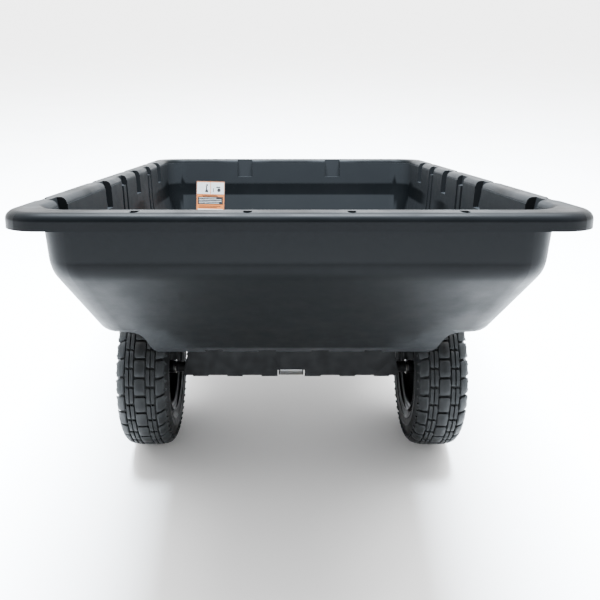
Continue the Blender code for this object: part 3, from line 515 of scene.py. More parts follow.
def rim_outlines(inset, low, high, roll=0.014, steps=8):
    """Outer face of the rim: short upright lip and a quarter-round roll on to the flat top."""
    rings = [(0.0, low)]
    for i in range(steps + 1):
        turn = math.radians(90 * i / steps)
        rings.append((roll * (1 - math.cos(turn)), high - roll + roll * math.sin(turn)))
    return [outline(RIM_HALF - inset - d, RIM_REAR + inset + d, RIM_FRONT - inset - d,
                    CORNER_R - inset - d * 0.5, z)
            for d, z in rings]


def well_profile(skin):
    """Section of a wheel well, its skin set into the bed: steep side, flat roof, rounded outer corner."""
    low = FLOOR_Z - 0.03
    points = []
    for i, (x, z) in enumerate(WELL_SIDE):
        x0, z0 = WELL_SIDE[max(i - 1, 0)]
        x1, z1 = WELL_SIDE[min(i + 1, len(WELL_SIDE) - 1)]
        run = math.hypot(x1 - x0, z1 - z0)
        points.append((x - (z1 - z0) / run * skin, z + (x1 - x0) / run * skin))
    roof = WELL_SIDE[-1][1] + skin
    for i in range(11):
        turn = math.radians(90 * i / 10)
        points.append((0.352 + (0.040 - skin) * math.sin(turn),
                       roof + (0.040 - skin) * (1 - math.cos(turn))))
    return [(points[0][0], low)] + points + [(0.470, roof + 0.040 - skin), (0.470, low)]


def well_cutter(name, side, skin):
    return prism(name, [(side * x, z) for x, z in well_profile(skin)], "Y", -0.540, WELL_FRONT + skin)


def stake_pockets(name, grow, above):
    bm = bmesh.new()
    half = POCKET_L / 2 + grow
    levels = ((RIM_Z - POCKET_D - grow, WALL * 0.6 + grow), (RIM_Z + above, POCKET_IN - WALL + grow))
    for side in (-1, 1):
        for y in POCKET_Y:
            ends = []
            for z, reach in levels:
                near, far = side * (WALL_HALF - 0.012 - grow), side * (WALL_HALF + reach)
                ends.append([(near, y - half, z), (far, y - half, z), (far, y + half, z),
                             (near, y + half, z)])
            add_hull(bm, *ends)
    for x in POCKET_X:
        ends = []
        for z, reach in levels:
            near, far = WALL_FRONT - 0.012 - grow, WALL_FRONT + reach
            ends.append([(x - half, near, z), (x + half, near, z), (x + half, far, z), (x - half, far, z)])
        add_hull(bm, *ends)
    return new_object(name, bm)


def wall_x(z):
    return BASE_HALF + (WALL_HALF - BASE_HALF) * (z - FLOOR_Z) / (LIP_Z - FLOOR_Z)


def side_slabs(name, width, shifts, low, high, inside, outside):
    """Blocks along both side walls, at each of the given shifts from every slot's middle."""
    bm = bmesh.new()
    for side in (-1, 1):
        for middle in [y + shift for y in SLOT_Y for shift in shifts]:
            ends = []
            for z in (low, high):
                near, far = side * (wall_x(z) + inside), side * (wall_x(z) + outside)
                ends.append([(near, middle - width / 2, z), (far, middle - width / 2, z),
                             (far, middle + width / 2, z), (near, middle + width / 2, z)])
            add_hull(bm, *ends)
    return new_object(name, bm)


def edge_notches():
    bm = bmesh.new()
    for side in (-1, 1):
        for y in POCKET_Y:
            curve = []
            for i in range(17):
                turn = math.radians(180 * i / 16)
                curve.append((side * (RIM_HALF - 0.0045 - 0.0145 * math.sin(turn)),
                              y - NOTCH_L / 2 * math.cos(turn)))
            add_hull(bm, [(x, v, RIM_Z - NOTCH_D) for x, v in curve],
                     [(x, v, RIM_Z + 0.02) for x, v in curve])
    return new_object("edge_notches", bm)


def rear_holes():
    """Half-round drain holes along the rear rim, flat towards the tub."""
    bm = bmesh.new()
    for x in REAR_HOLE_X:
        half, back = REAR_HOLE_W / 2, RIM_REAR + 0.010
        curve = [(x + half, back + REAR_HOLE_L), (x - half, back + REAR_HOLE_L)]
        for i in range(9):
            turn = math.radians(180 + 180 * i / 8)
            curve.append((x + half * math.cos(turn), back + half + half * math.sin(turn)))
        add_hull(bm, [(a, b, RIM_Z - 0.02) for a, b in curve], [(a, b, RIM_Z + 0.02) for a, b in curve])
    return new_object("rear_holes", bm)


def make_tub(plastic):
    tub = loft("tub_shell", rim_outlines(0.0, LIP_Z, RIM_Z), plastic)
    helpers = []

    def apply(operation, helper, obj=tub):
        boolean(obj, helper, operation)
        helpers.append(helper)

    apply("DIFFERENCE", loft("rim_hollow", [outline(RIM_HALF - WALL, RIM_REAR + WALL, RIM_FRONT - WALL,
                                                    CORNER_R - WALL, z) for z in (LIP_Z - 0.02,
                                                                                  RIM_Z - WALL)]))
    apply("UNION", loft("tub_body", wall_outlines(0.0, RIM_Z - 0.004)))
    apply("UNION", stake_pockets("pocket_walls", 0.004, -0.003))
    apply("UNION", side_slabs("slot_walls", SLOT_W + 0.008, (0,), FLOOR_Z + 0.110, RIM_Z - 0.0035,
                              -0.016, SLOT_IN - 0.001))
    half = NOTCH_L / 2 + WALL
    apply("UNION", boxes("notch_walls", [(sorted((side * 0.4245, side * (RIM_HALF - 0.0032))),
                                          (y - half, y + half),
                                          (RIM_Z - NOTCH_D - WALL, RIM_Z - WALL + 0.0005))
                                         for side in (-1, 1) for y in POCKET_Y]))
    cavity = loft("tub_cavity", wall_outlines(WALL, RIM_Z + 0.02))
    for side, word in ((-1, "left"), (1, "right")):
        apply("DIFFERENCE", well_cutter("wheel_well_" + word, side, 0.0))
        apply("DIFFERENCE", well_cutter("well_bump_" + word, side, WALL), cavity)
    grow = CHANNEL_W / 2 + WALL
    apply("DIFFERENCE", boxes("floor_ribs", [((x - grow, x + grow), (-0.50, 0.525),
                                              (FLOOR_Z, FLOOR_Z + CHANNEL_D + WALL)) for x in CHANNEL_X]),
          cavity)
    apply("DIFFERENCE", cavity)
    roll = 0.011
    inner_roll = [(0.0, RIM_Z - roll - 0.001)]
    for i in range(7):
        turn = math.radians(90 * i / 6)
        inner_roll.append((roll * (1 - math.cos(turn)), RIM_Z - roll + roll * math.sin(turn)))
    inner_roll.append((roll + 0.0005, RIM_Z + 0.02))
    apply("DIFFERENCE", loft("rim_inner_roll", [
        outline(WALL_HALF - WALL + d, WALL_REAR + WALL - d, WALL_FRONT - WALL + d, CORNER_R - 0.01 + d, z)
        for d, z in inner_roll]))
    half = CHANNEL_W / 2
    apply("DIFFERENCE", boxes("floor_channels", [((x - half, x + half), (-0.60, 0.520),
                                                  (FLOOR_Z - 0.02,
                                                   FLOOR_Z + CHANNEL_D)) for x in CHANNEL_X]))
    apply("DIFFERENCE", stake_pockets("stake_pockets", 0.0, 0.01))
    apply("DIFFERENCE", side_slabs("slot_notches", SLOT_W, (0,), SLOT_LEDGE, RIM_Z + 0.02,
                                   -0.012, SLOT_IN - WALL))
    apply("DIFFERENCE", side_slabs("slot_grooves", GROOVE_W, (-GROOVE_Y, GROOVE_Y), FLOOR_Z + 0.115,
                                   SLOT_LEDGE + 0.001, -0.012, GROOVE_IN - WALL))
    apply("DIFFERENCE", edge_notches())
    apply("DIFFERENCE", rear_holes())
    settle(tub, *helpers)
    bevel(tub, 0.0016, 2, 38)
    settle(tub)
    slice_large_faces(tub.data)
    tub.data.shade_smooth()
    tub.data.set_sharp_from_angle(angle=math.radians(50))
    even = tub.modifiers.new("even_shading", "WEIGHTED_NORMAL")
    even.keep_sharp = True
    even.weight = 80
    settle(tub)
    dress(tub, "bed", "tub_plastic", "tub")


# ---------------------------------------------------------------- label
def make_label(inks):
    """A generic warning plate: two pictogram panels over bands of plain bars, with no words."""
    low, high = Vector((0, 0.5772, 0.296)), Vector((0, 0.5983, 0.436))
    up = (high - low).normalized()
    out = Vector((0, -up.z, up.y))
    tilt = math.radians(-1.4)
    width, height = 0.097, (high - low).length
    middle = (low + high) / 2 + Vector((-0.2655, 0, 0))

    def spot(u, v, lift):
        a = u * math.cos(tilt) - v * math.sin(tilt)
        b = u * math.sin(tilt) + v * math.cos(tilt)
        return middle + Vector((a, 0, 0)) + up * b + out * lift

    bm = bmesh.new()

    def patch(line, layer, slot):
        base = 0.0003 * layer
        add_hull(bm, [spot(u, v, base) for u, v in line], [spot(u, v, base + 0.0003) for u, v in line],
                 slot)

    def band(u0, u1, v0, v1, layer, slot):
        patch([(u0, v0), (u1, v0), (u1, v1), (u0, v1)], layer, slot)

    half, top = width / 2, height / 2
    band(-half, half, -top, top, 0, 0)
    band(-half + 0.002, half - 0.002, -top + 0.002, top - 0.002, 1, 1)
    for side in (-1, 1):
        centre = side * 0.0232
        band(centre - 0.0222, centre + 0.0222, top - 0.044, top - 0.0045, 2, 2)
    band(-0.0155, -0.0120, top - 0.034, top - 0.017, 3, 3)
    patch([(-0.0185, top - 0.036), (-0.0080, top - 0.037), (-0.0100, top - 0.029), (-0.0160, top - 0.028)],
          4, 3)
    patch([(-0.0120 + 0.0030 * x, top - 0.0135 + 0.0028 * y) for x, y in circle(1.0, 16)], 3, 3)
    patch(circle(0.0060, 20, (0.0285, top - 0.0300)), 3, 3)
    band(0.0190, 0.0330, top - 0.0215, top - 0.0190, 4, 3)
    band(0.0085, 0.0110, top - 0.036, top - 0.024, 3, 3)
    for row, (left, right) in enumerate(((-0.030, 0.022), (-0.026, 0.026))):
        band(left, right, top - 0.0488 - 0.0030 * row, top - 0.0476 - 0.0030 * row, 2, 3)
    band(-half + 0.006, half - 0.006, top - 0.078, top - 0.053, 2, 3)
    for row in range(4):
        v = top - 0.0572 - row * 0.0056
        band(-half + 0.010, half - 0.011 - 0.018 * (row == 0) - 0.008 * (row == 3), v - 0.0008, v + 0.0008,
             3, 2)
    for row, trim in enumerate((0.004, 0.016)):
        v = top - 0.0845 - row * 0.0046
        band(-half + 0.010, half - 0.010 - trim, v - 0.0007, v + 0.0007, 2, 3)
    band(-half + 0.006, half - 0.006, -top + 0.006, top - 0.094, 2, 2)
    for row in range(3):
        v = top - 0.1050 - row * 0.0100
        band(-half + 0.009, half - 0.015 + 0.004 * row, v - 0.0008, v + 0.0008, 3, 3)
    label = new_object("warning_plate", bm, inks)
    dress(label, "bed", "label", "warning_label")


# ---------------------------------------------------------------- wheels
SECTION = ((0.0000, 0.2000), (0.0150, 0.1998), (0.0300, 0.1990), (0.0430, 0.1968), (0.0520, 0.1925),
           (0.0580, 0.1850), (0.0612, 0.1760), (0.0626, 0.1660))


def along_section(distance):
    """Point and outward normal of the tyre's outer section at a distance from its middle."""
    side = -1 if distance < 0 else 1
    left = abs(distance)
    for (x0, r0), (x1, r1) in zip(SECTION, SECTION[1:]):
        run = math.hypot(x1 - x0, r1 - r0)
        if left <= run or (x1, r1) == SECTION[-1]:
            t = left / run
            return side * (x0 + (x1 - x0) * t), r0 + (r1 - r0) * t, -side * (r1 - r0) / run, (x1 - x0) / run
        left -= run
    return None


def add_lug(bm, s0, s1, a0, a1, depth, skew):
    """One tread block: crowned top, rounded corners and walls that spread towards the carcass."""
    us = (0.0, 0.10, 0.5, 0.90, 1.0)
    vs = (0.0, 0.07, 0.36, 0.64, 0.93, 1.0)
    grid = []
    for i, u in enumerate(us):
        column = []
        for j, v in enumerate(vs):
            uu, vv = u, v
            if i in (0, len(us) - 1) and j in (0, len(vs) - 1):
                uu = 0.5 + (u - 0.5) * 0.90
                vv = 0.5 + (v - 0.5) * 0.94
            edge = i in (0, len(us) - 1) or j in (0, len(vs) - 1)
            s = s0 + (s1 - s0) * uu
            a = a0 + (a1 - a0) * vv + skew * (uu - 0.5)
            column.append((s, a, 0.0011 if edge else 0.0))
        grid.append(column)

    def place(s, a, drop):
        x, r, nx, nr = along_section(s)
        x, r = x - nx * drop, r - nr * drop
        return (x, -r * math.sin(a), r * math.cos(a))

    verts = [[bm.verts.new(place(*cell)) for cell in column] for column in grid]
    last_u, last_v = len(us) - 1, len(vs) - 1
    for i in range(last_u):
        for j in range(last_v):
            bm.faces.new((verts[i][j], verts[i + 1][j], verts[i + 1][j + 1], verts[i][j + 1]))
    border = [(i, 0) for i in range(last_u + 1)] + [(last_u, j) for j in range(1, last_v + 1)]
    border += [(i, last_v) for i in range(last_u - 1, -1, -1)] + [(0, j) for j in range(last_v - 1, 0, -1)]
    mid_s, mid_a = (s0 + s1) / 2, (a0 + a1) / 2
    feet = []
    for i, j in border:
        s, a, _ = grid[i][j]
        feet.append(bm.verts.new(place(mid_s + (s - mid_s) * 1.05, mid_a + (a - mid_a) * 1.03, depth)))
    for k, (i, j) in enumerate(border):
        m = (k + 1) % len(border)
        bm.faces.new((verts[i][j], feet[k], feet[m], verts[border[m][0]][border[m][1]]))
    bm.faces.new(feet[::-1])


def tyre_carcass():
    """Closed section of the carcass with moulded rings on the side wall and a bead at the rim."""
    outer = []
    for i in range(17):
        s = 0.0775 * i / 16
        x, r, nx, nr = along_section(s)
        outer.append((x - nx * 0.0062, r - nr * 0.0062))
    side = [(0.0610, 0.1560), (0.0622, 0.1545), (0.0622, 0.1515), (0.0608, 0.1500), (0.0600, 0.1440),
            (0.0588, 0.1360), (0.0600, 0.1350), (0.0596, 0.1325), (0.0576, 0.1315), (0.0550, 0.1265),
            (0.0520, 0.1225), (0.0530, 0.1205), (0.0512, 0.1190), (0.0480, 0.1160), (0.0462, 0.1110),
            (0.0456, 0.1050), (0.0340, 0.1050), (0.0400, 0.1180), (0.0530, 0.1450), (0.0510, 0.1640),
            (0.0440, 0.1790), (0.0250, 0.1860)]
    half = outer + side
    return half + [(0.0, 0.1870)] + [(-x, r) for x, r in reversed(half[1:])]


def make_tyre(word, rubber):
    rng = random.Random(7)
    bm = bmesh.new()
    add_lathe(bm, tyre_carcass(), 112)
    rows = 28
    pitch = 2 * math.pi / rows
    columns = ((-0.0125, 0.0125, 0.0, 0.0), (0.0155, 0.0240, 0.5, 0.05), (0.0262, 0.0345, 0.5, 0.05),
               (-0.0240, -0.0155, 0.5, 0.05), (-0.0345, -0.0262, 0.5, 0.05),
               (0.0378, 0.0640, 0.0, -0.12), (-0.0640, -0.0378, 0.0, -0.12))
    for s0, s1, phase, skew in columns:
        for row in range(rows):
            start = (row + phase) * pitch
            trim = 0.0012 * rng.uniform(-1, 1)
            add_lug(bm, s0, s1, start + 0.075 * pitch + trim, start + 0.925 * pitch + trim, 0.0068,
                    skew * pitch)
    for side in (-1, 1):
        for row in range(rows * 2):
            turn = (row + 0.5) * pitch / 2
            ring = []
            for s, half_turn in ((0.0665, 0.07), (0.0740, 0.03)):
                for sign in (-1, 1):
                    x, r, _, _ = along_section(side * s)
                    a = turn + sign * half_turn * pitch
                    ring.append((x, -r * math.sin(a), r * math.cos(a)))
            inner = [(x - side * 0.004, y, z) for x, y, z in ring]
            order = (0, 1, 3, 2)
            add_hull(bm, [inner[i] for i in order], [ring[i] for i in order])
    side = 1 if word == "right" else -1
    bmesh.ops.translate(bm, verts=bm.verts, vec=(side * WHEEL_X, 0, 0))
    tyre = new_object("tyre_with_tread_" + word, bm, rubber, smooth=32)
    dress(tyre, "wheel_" + word, "tyre_rubber", "tyre_" + word)


RIM_LINE = ((0.0020, HUB_R + 0.0010), (0.0020, 0.0400), (0.0045, 0.0470), (0.0045, 0.0560),
            (0.0120, 0.0700), (0.0120, 0.0860), (0.0300, 0.1010), (0.0460, 0.1022), (0.0484, 0.1100),
            (0.0530, 0.1140), (0.0568, 0.1120))


def make_rim(word, mats):
    side = 1 if word == "right" else -1
    centre = side * WHEEL_X
    profile = sheet_profile(rounded(RIM_LINE, 0.0055, 5), 0.0024)
    for half, sign in (("right", 1), ("left", -1)):
        piece = lathe("rim_%s_pressing_%s" % (half, word), [(sign * x, r) for x, r in profile], mats["rim"],
                      96, centre)
        bevel(piece, 0.0004, 1, 60)
        dress(piece, "wheel_" + word, "wheel_paint", "rim_%s_half_%s" % (half, word))
    bm = bmesh.new()
    for i in range(8):
        turn = 2 * math.pi * i / 8
        place = (centre, 0.0780 * math.sin(turn), 0.0780 * math.cos(turn))
        turned(bm, ((0.0020, -0.0190), (0.0052, -0.0180), (0.0060, -0.0140), (0.0030, -0.0135),
                    (0.0030, 0.0135),
                    (0.0060, 0.0140), (0.0052, 0.0180), (0.0020, 0.0190)), "X", place, 20)
    rivets = new_object("rim_rivets_" + word, bm, mats["rim"])
    dress(rivets, "wheel_" + word, "wheel_paint")
    bm = bmesh.new()
    hub = HUB_HALF - GAP
    add_lathe(bm, [(-hub, 0.0125), (hub, 0.0125), (hub, HUB_R - 0.0006), (hub - 0.0006, HUB_R),
                   (0.0070, HUB_R),
                   (0.0045, HUB_R + 0.0022), (0.0030, HUB_R + 0.0034), (-0.0030, HUB_R + 0.0034),
                   (-0.0045, HUB_R + 0.0022), (-0.0070, HUB_R), (-hub + 0.0006, HUB_R),
                   (-hub, HUB_R - 0.0006)],
              64, centre)
    dress(new_object("hub_tube_" + word, bm, mats["rim"]), "wheel_" + word, "wheel_paint",
          "wheel_hub_" + word)
    bore = AXLE_R + GAP
    for end, sign in (("left", -1), ("right", 1)):
        profile = [(sign * x, r) for x, r in (
            (HUB_HALF - 0.026, bore), (HUB_HALF + 0.0027, bore), (HUB_HALF + 0.0027, HUB_R - 0.0008),
            (HUB_HALF + 0.0019, HUB_R), (HUB_HALF, HUB_R), (HUB_HALF, 0.0122), (HUB_HALF - 0.026, 0.0122))]
        piece = lathe("hub_bush_%s_%s" % (end, word), profile, mats["nylon"], 48, centre)
        dress(piece, "wheel_" + word, "bushing_nylon", "hub_bushing_%s_%s" % (end, word))
    make_valve(word, centre, mats)


def make_valve(word, centre, mats):
    """Rubber stem with a ribbed cap, leaning out of the rim's right-hand dish."""
    place = Matrix.Translation((centre + 0.0305, 0, 0.0790)) @ Matrix.Rotation(math.radians(8), 4, "Y")
    bm = bmesh.new()
    turned(bm, ((0.0050, 0.0), (0.0050, 0.0012), (0.0040, 0.0030), (0.0036, 0.0060), (0.0034, 0.0160),
                (0.0030, 0.0162),
                (0.0030, 0.0168), (0.0042, 0.0170), (0.0042, 0.0236), (0.0034, 0.0248), (0.0015, 0.0250)),
           "X", count=24)
    for i in range(12):
        turn = 2 * math.pi * i / 12
        y, z = 0.0042 * math.cos(turn), 0.0042 * math.sin(turn)
        turned(bm, ((0.0004, 0.0175), (0.0005, 0.0180), (0.0005, 0.0225), (0.0004, 0.0230)), "X", (0, y, z),
               8)
    bm.transform(place)
    dress(new_object("valve_and_cap_" + word, bm, mats["rubber"]), "wheel_" + word, "tyre_rubber",
          "valve_stem_" + word)


# ---------------------------------------------------------------- pedestal and floor frame
TAB_X = (0.057, 0.1466, 0.2361)
TAB_W, TAB_H = 0.041, 0.003
WEB_Y, STEEL = 0.033, 0.003
WEB_BOTTOM = -0.012
WINDOW_HALF = 0.035


def web_line(window_top):
    """Half of a web's outline, from the top corner down to the window, as (x, z)."""
    top = FLOOR_Z - GAP
    points = [(0.270, top), (0.270, 0.040), (0.280, 0.0), (0.280, WEB_BOTTOM)]
    for x in reversed(TAB_X):
        points += [(x + TAB_W / 2, WEB_BOTTOM), (x + TAB_W / 2, WEB_BOTTOM - TAB_H),
                   (x - TAB_W / 2, WEB_BOTTOM - TAB_H), (x - TAB_W / 2, WEB_BOTTOM)]
    points = [p for p in points if p[0] > WINDOW_HALF + 0.002]
    return points + [(WINDOW_HALF, WEB_BOTTOM - TAB_H), (WINDOW_HALF, window_top)]


def make_web(word, side, window_top, steel):
    half = web_line(window_top)
    ring = half + [(-x, z) for x, z in reversed(half)]
    y0, y1 = sorted((side * WEB_Y, side * (WEB_Y - STEEL)))
    web = prism("pedestal_%s_pressing" % word, ring, "Y", y0, y1, steel)
    f0, f1 = sorted((side * (WEB_Y - STEEL / 2), side * (WEB_Y + 0.040)))
    top = FLOOR_Z - GAP
    flange = boxes("flange", [((-0.268, 0.268), (f0, f1), (top - STEEL, top))])
    boolean(web, flange, "UNION")
    settle(web, flange)
    bevel(web, 0.0009, 2, 35)
    dress(web, "bed", "black_steel", "pedestal_%s_web" % word)


def hex_ring(radius, z, axis="Z", place=(0, 0, 0)):
    return [tuple(Vector(p) + Vector(place)) for p in prism_points(circle(radius, 6), axis, z)]


def add_nut(bm, radius, low, high, axis, place):
    """Six-sided nut with chamfered corners."""
    chamfer = radius * 0.12
    add_loft(bm, [hex_ring(radius - chamfer, low, axis, place),
                  hex_ring(radius, low + chamfer * 0.6, axis, place),
                  hex_ring(radius, high - chamfer * 0.6, axis, place),
                  hex_ring(radius - chamfer, high, axis, place)])


def make_bed_bolts(zinc):
    """Round bolt heads on the floor, and nuts with washers under the frame below."""
    head = FLOOR_Z + WALL + GAP
    grip = FLOOR_Z - GAP - STEEL - GAP
    for number, (x, y) in enumerate(BED_BOLTS, 1):
        bm = bmesh.new()
        turned(bm, ((0.0036, grip - 0.0090), (0.0040, grip - 0.0085), (0.0040, head), (0.0100, head),
                    (0.0100, head + 0.0004), (0.0092, head + 0.0018), (0.0070, head + 0.0029),
                    (0.0035, head + 0.0034)),
               "Z", (x, y, 0), 32)
        dress(new_object("carriage_bolt_%d" % number, bm, zinc), "bed", "zinc_plate",
              "bed_bolt_%d" % number)
        bm = bmesh.new()
        turned(bm, ((0.0088, grip - 0.0014), (0.0088, grip)), "Z", (x, y, 0), 32)
        add_nut(bm, 0.0075, grip - 0.0078, grip - 0.0015, "Z", (x, y, 0))
        dress(new_object("bed_nut_%d" % number, bm, zinc), "bed", "zinc_plate")


def make_round_pieces(mats):
    """Finer turned versions of the axle, its washers and spacers, and the drawbar's sleeve and bushes."""
    bore = AXLE_R + GAP
    hub_end = HUB_HALF + 0.0030
    bm = bmesh.new()
    turned(bm, ((AXLE_R - 0.0015, -0.432), (AXLE_R, -0.4305), (AXLE_R, 0.4305), (AXLE_R - 0.0015, 0.432)),
           "X", count=48)
    dress(new_object("axle_bar", bm, mats["axle"]), "chassis", "axle_steel", "axle")
    for side, word in ((-1, "left"), (1, "right")):
        outer = WHEEL_X - hub_end - GAP
        spacer = [(side * x, r) for x, r in ((0.2555, bore), (outer - 0.003, bore), (outer - 0.003, 0.0140),
                                             (outer - 0.0035, 0.0145), (0.2560, 0.0145), (0.2555, 0.0140))]
        dress(lathe("spacer_tube_" + word, spacer, mats["steel"], 48), "chassis", "black_steel",
              "axle_spacer_" + word)
        for place, x in (("inner", outer - 0.0026), ("outer", WHEEL_X + hub_end + GAP)):
            ring = [(side * a, r) for a, r in ((x, bore), (x + 0.0024, bore), (x + 0.0024, 0.0176),
                                               (x + 0.0020, 0.0180),
                                               (x + 0.0004, 0.0180), (x, 0.0176))]
            dress(lathe("washer_%s_%s" % (place, word), ring, mats["zinc"], 48), "chassis", "zinc_plate",
                  "axle_washer_%s_%s" % (place, word))
        inner, out = 0.009, 0.0293
        flange = out + 0.0030
        bush = [(side * x, r) for x, r in ((inner, bore), (flange, bore), (flange, 0.0220),
                                           (flange - 0.0005, 0.0225),
                                           (out, 0.0225), (out, 0.0177), (inner, 0.0177))]
        dress(lathe("pivot_bush_" + word, bush, mats["nylon"], 48), "chassis", "bushing_nylon",
              "pivot_bushing_" + word)
        make_cotter(side, word, mats)
    sleeve = [(-0.0290, 0.0180), (0.0290, 0.0180), (0.0290, 0.0221), (0.0286, 0.0225), (-0.0286, 0.0225),
              (-0.0290, 0.0221)]
    dress(lathe("drawbar_sleeve", sleeve, mats["zinc"], 64), "chassis", "zinc_plate", "pivot_sleeve")


def wire(name, points, radius, mat):
    curve = bpy.data.curves.new(name, "CURVE")
    curve.dimensions = "3D"
    curve.bevel_depth = radius
    curve.bevel_resolution = 4
    curve.use_fill_caps = True
    spline = curve.splines.new("POLY")
    spline.points.add(len(points) - 1)
    for spot, point in zip(spline.points, points):
        spot.co = (*(TO_ROW @ Vector(point)), 1.0)
    curve.materials.append(mat)
    obj = bpy.data.objects.new(name, curve)
    bpy.context.scene.collection.objects.link(obj)
    return settle_curve(obj)


def settle_curve(obj):
    graph = bpy.context.evaluated_depsgraph_get()
    mesh = bpy.data.meshes.new_from_object(obj.evaluated_get(graph))
    name = obj.name
    bpy.data.objects.remove(obj, do_unlink=True)
    new = bpy.data.objects.new(name, mesh)
    bpy.context.scene.collection.objects.link(new)
    mesh.shade_smooth()
    return new


def make_cotter(side, word, mats):
    """Split pin of half-round wire: an eye above the axle and one leg bent back below."""
    x = side * (WHEEL_X + HUB_HALF + 0.0030 + 0.0080)
    points = [(x - 0.0008, 0.0075, -0.0175), (x - 0.0008, 0.0035, -0.0155), (x - 0.0008, 0.0004, -0.0125),
              (x - 0.0008, 0.0, 0.0110)]
    for i in range(13):
        turn = math.radians(-70 + 320 * i / 12)
        points.append((x, 0.0036 * math.cos(turn) * -1, 0.0160 + 0.0036 * math.sin(turn)))
    points += [(x + 0.0008, 0.0, 0.0110), (x + 0.0008, 0.0, -0.0150)]
    pin = wire("split_pin_" + word, points, 0.0009, mats["zinc"])
    dress(pin, "chassis", "zinc_plate", "cotter_pin_" + word)


# ---------------------------------------------------------------- latch and hitch
def make_spring(zinc):
    """Torsion spring round the latch bolt, with one leg lying against the bracket."""
    turns, per_turn, coil_r = 4, 28, 0.0075
    y, z = LATCH_AXIS
    points = []
    for i in range(turns * per_turn + 1):
        turn = 2 * math.pi * i / per_turn
        points.append((0.0075 + 0.019 * i / (turns * per_turn), y + coil_r * math.cos(turn),
                       z + coil_r * math.sin(turn)))
    points += [(0.0275, y + coil_r + 0.0005, z + 0.006), (0.0280, y + coil_r + 0.001, z + 0.016)]
    dress(wire("latch_torsion_spring", points, 0.0009, zinc), "bed", "zinc_plate", "latch_spring")


def make_fasteners(mats):
    zinc = mats["zinc"]
    y, z = LATCH_AXIS
    bm = bmesh.new()
    add_nut(bm, 0.0075, -0.0392, -0.0340, "X", (0, y, z))
    turned(bm, ((0.0040, -0.0341), (0.0040, 0.0394), (0.0034, 0.0400)), "X", (0, y, z), 32)
    dress(new_object("latch_bolt", bm, zinc), "bed", "zinc_plate", "latch_pivot_bolt")
    bm = bmesh.new()
    add_nut(bm, 0.0075, 0.0340, 0.0390, "X", (0, y, z))
    dress(new_object("latch_nut", bm, zinc), "bed", "zinc_plate", "latch_pivot_nut")
    bm = bmesh.new()
    turned(bm, ((0.0072, -0.0165), (0.0080, -0.0158), (0.0080, -0.0135), (0.0050, -0.0135),
                (0.0050, 0.0160),
                (0.0045, 0.0165)), "X", (0, *STRIKER), 32)
    dress(new_object("striker_bar", bm, zinc), "chassis", "zinc_plate", "striker_pin")
    head = BAR_HALF + GAP + PLATE + GAP
    middle = BAR_END[1]
    for number, y in enumerate(HITCH_BOLT_Y, 1):
        place = (0, y, middle)
        bm = bmesh.new()
        turned(bm, ((0.0042, -head - 0.0110), (0.0050, -head - 0.0100), (0.0050, head)), "Z", place, 32)
        add_nut(bm, 0.0090, head, head + 0.0060, "Z", place)
        dress(new_object("hitch_hex_bolt_%d" % number, bm, zinc), "chassis", "zinc_plate",
              "hitch_bolt_%d" % number)
        bm = bmesh.new()
        add_nut(bm, 0.0090, -head - 0.0070, -head, "Z", place)
        dress(new_object("hitch_hex_nut_%d" % number, bm, zinc), "chassis", "zinc_plate",
              "hitch_nut_%d" % number)
    make_hitch_pin(zinc)


def make_hitch_pin(zinc):
    seat = BAR_HALF + GAP + PLATE + GAP
    low = -(BAR_HALF + GAP + PLATE)
    place = (0, PIN_Y, BAR_END[1])
    bm = bmesh.new()
    turned(bm, ((0.0030, low), (0.0054, low + 0.0030), (PIN_R, low + 0.0050), (PIN_R, seat - 0.0006),
                (0.0104, seat), (0.0110, seat + 0.0008), (0.0110, seat + 0.0032), (0.0104, seat + 0.004),
                (PIN_R, seat + 0.0042), (PIN_R, seat + 0.0225), (PIN_R - 0.0012, seat + 0.024)), "Z", place,
           40)
    add_ring(bm, 0.016, 0.003, Vector(place) + Vector((0, 0, seat + 0.022 + 0.016)), 56, 14)
    dress(new_object("pull_pin", bm, zinc), "hitch_pin", "zinc_plate", "hitch_pin")


def add_ring(bm, radius, wire_r, centre, around, section):
    rings = []
    for i in range(around):
        turn = 2 * math.pi * i / around
        rings.append([bm.verts.new(centre + Vector(((radius + b) * math.sin(turn), a,
                                                    (radius + b) * math.cos(turn))))
                      for a, b in circle(wire_r, section)])
    for near, far in zip(rings, rings[1:] + rings[:1]):
        join_rings(bm, near, far)


# ---------------------------------------------------------------- sheet steel kept from the frame
def finish_sheet_steel(mats):
    for name, (mat, slot, width, segments, angle) in KEPT.items():
        obj = frame["nodes"][name]
        obj.data.materials.clear()
        obj.data.materials.append(mats[mat])
        flat = obj.modifiers.new("merge_flats", "DECIMATE")
        flat.decimate_type = "DISSOLVE"
        flat.angle_limit = math.radians(1.0)
        bevel(obj, width, segments, angle)
        obj.data.shade_smooth()
        obj.data.set_sharp_from_angle(angle=math.radians(40))


# ---------------------------------------------------------------- studio
def make_floor():
    mat, tree, shader = new_material("studio_floor", 0.62, specular=0.3)
    base = ramp(tree, noise(tree, 3.0, 4.0), ((0.3, (0.84, 0.84, 0.84)), (0.7, (0.87, 0.87, 0.868))))
    surface(tree, shader, base)
    bump(tree, shader, noise(tree, 60.0, 3.0), 0.03, 0.001)
    bm = bmesh.new()
    bmesh.ops.create_grid(bm, x_segments=4, y_segments=4, size=FLOOR_HALF)
    floor = new_object("floor", bm, mat, lean=False)


def area_light(name, place, target, size, power, color):
    light = bpy.data.lights.new(name, "AREA")
    light.shape = "RECTANGLE"
    light.size, light.size_y = size
    light.energy = power
    light.color = color
    obj = bpy.data.objects.new(name, light)
    obj.location = place
    obj.rotation_euler = (Vector(target) - Vector(place)).to_track_quat("-Z", "Y").to_euler()
    bpy.context.scene.collection.objects.link(obj)


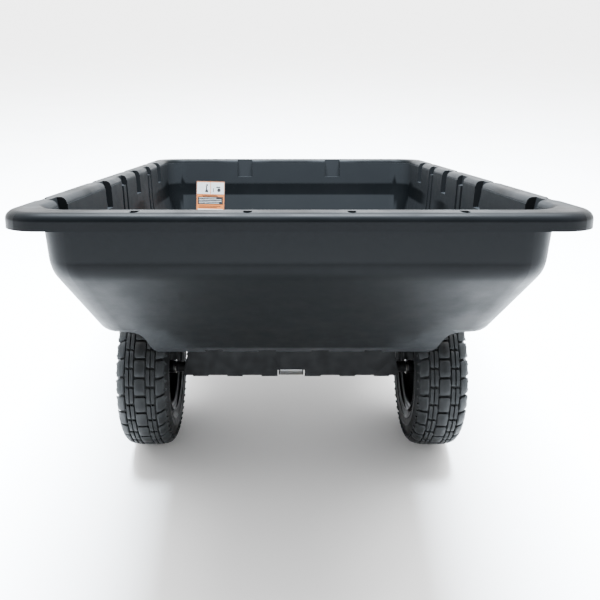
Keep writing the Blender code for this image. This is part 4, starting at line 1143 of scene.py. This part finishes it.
def make_studio():
    """Sky that is brightest ahead of the cart, a wide soft sun and a panel overhead; the photo's view."""
    world = bpy.data.worlds.new("studio")
    world.use_nodes = True
    tree = world.node_tree
    background = tree.nodes["Background"]
    coords = tree.nodes.new("ShaderNodeTexCoord")
    split = tree.nodes.new("ShaderNodeSeparateXYZ")
    tree.links.new(coords.outputs["Generated"], split.inputs["Vector"])
    sky = ramp(tree, split.outputs["Z"], ((0.0, 0.85), (0.25, 1.0), (1.0, 1.0)))
    away = node(tree, "ShaderNodeMapRange")
    for socket, value in SKY_RANGE:
        away.inputs[socket].default_value = value
    tree.links.new(split.outputs["Y"], away.inputs["Value"])
    lit = mix(tree, sky, ramp(tree, away.outputs["Result"], ((0.0, 0.0), (1.0, 1.0))), 1.0, "MULTIPLY")
    tree.links.new(lit, background.inputs["Color"])
    background.inputs["Strength"].default_value = SKY_STRENGTH
    bpy.context.scene.world = world
    sun = bpy.data.lights.new("soft_daylight", "SUN")
    sun.energy = SUN_POWER
    sun.angle = math.radians(SUN_SPREAD)
    obj = bpy.data.objects.new("soft_daylight", sun)
    obj.rotation_euler = (math.radians(SUN_TILT[0]), math.radians(SUN_TILT[1]), 0.0)
    bpy.context.scene.collection.objects.link(obj)
    area_light("overhead_panel", PANEL_PLACE, PANEL_TARGET, PANEL_SIZE, PANEL_POWER, PANEL_COLOR)
    camera = bpy.data.cameras.new("photo_camera")
    camera.lens = CAMERA_LENS
    camera.shift_x, camera.shift_y = CAMERA_SHIFT
    obj = bpy.data.objects.new("photo_camera", camera)
    obj.location = TO_ROW @ Vector(CAMERA_PLACE)
    obj.rotation_euler = (math.radians(90 - CAMERA_DROP) - LEAN, 0.0, 0.0)
    bpy.context.scene.collection.objects.link(obj)
    bpy.context.scene.camera = obj


def main():
    steel, zinc, rubber, nylon = powder_coat(), zinc_plate(), tyre_rubber(), black_nylon()
    mats = {"steel": steel, "rim": powder_coat("black_wheel_paint", 0.0012, 0.0026), "zinc": zinc,
            "rubber": rubber, "nylon": nylon, "axle": axle_steel(), "grip": vinyl_grip()}
    inks = [printed("label_border", (0.030, 0.030, 0.032)), printed("label_orange", (0.62, 0.17, 0.025)),
            printed("label_white", (0.66, 0.66, 0.65)), printed("label_black", (0.012, 0.012, 0.013))]
    make_tub(moulded_plastic())
    make_label(inks)
    make_web("rear", -1, 0.003, steel)
    make_web("front", 1, 0.045, steel)
    make_bed_bolts(zinc)
    make_round_pieces(mats)
    for word in ("left", "right"):
        make_tyre(word, rubber)
        make_rim(word, mats)
    make_spring(zinc)
    make_fasteners(mats)
    finish_sheet_steel(mats)
    make_floor()
    make_studio()


main()
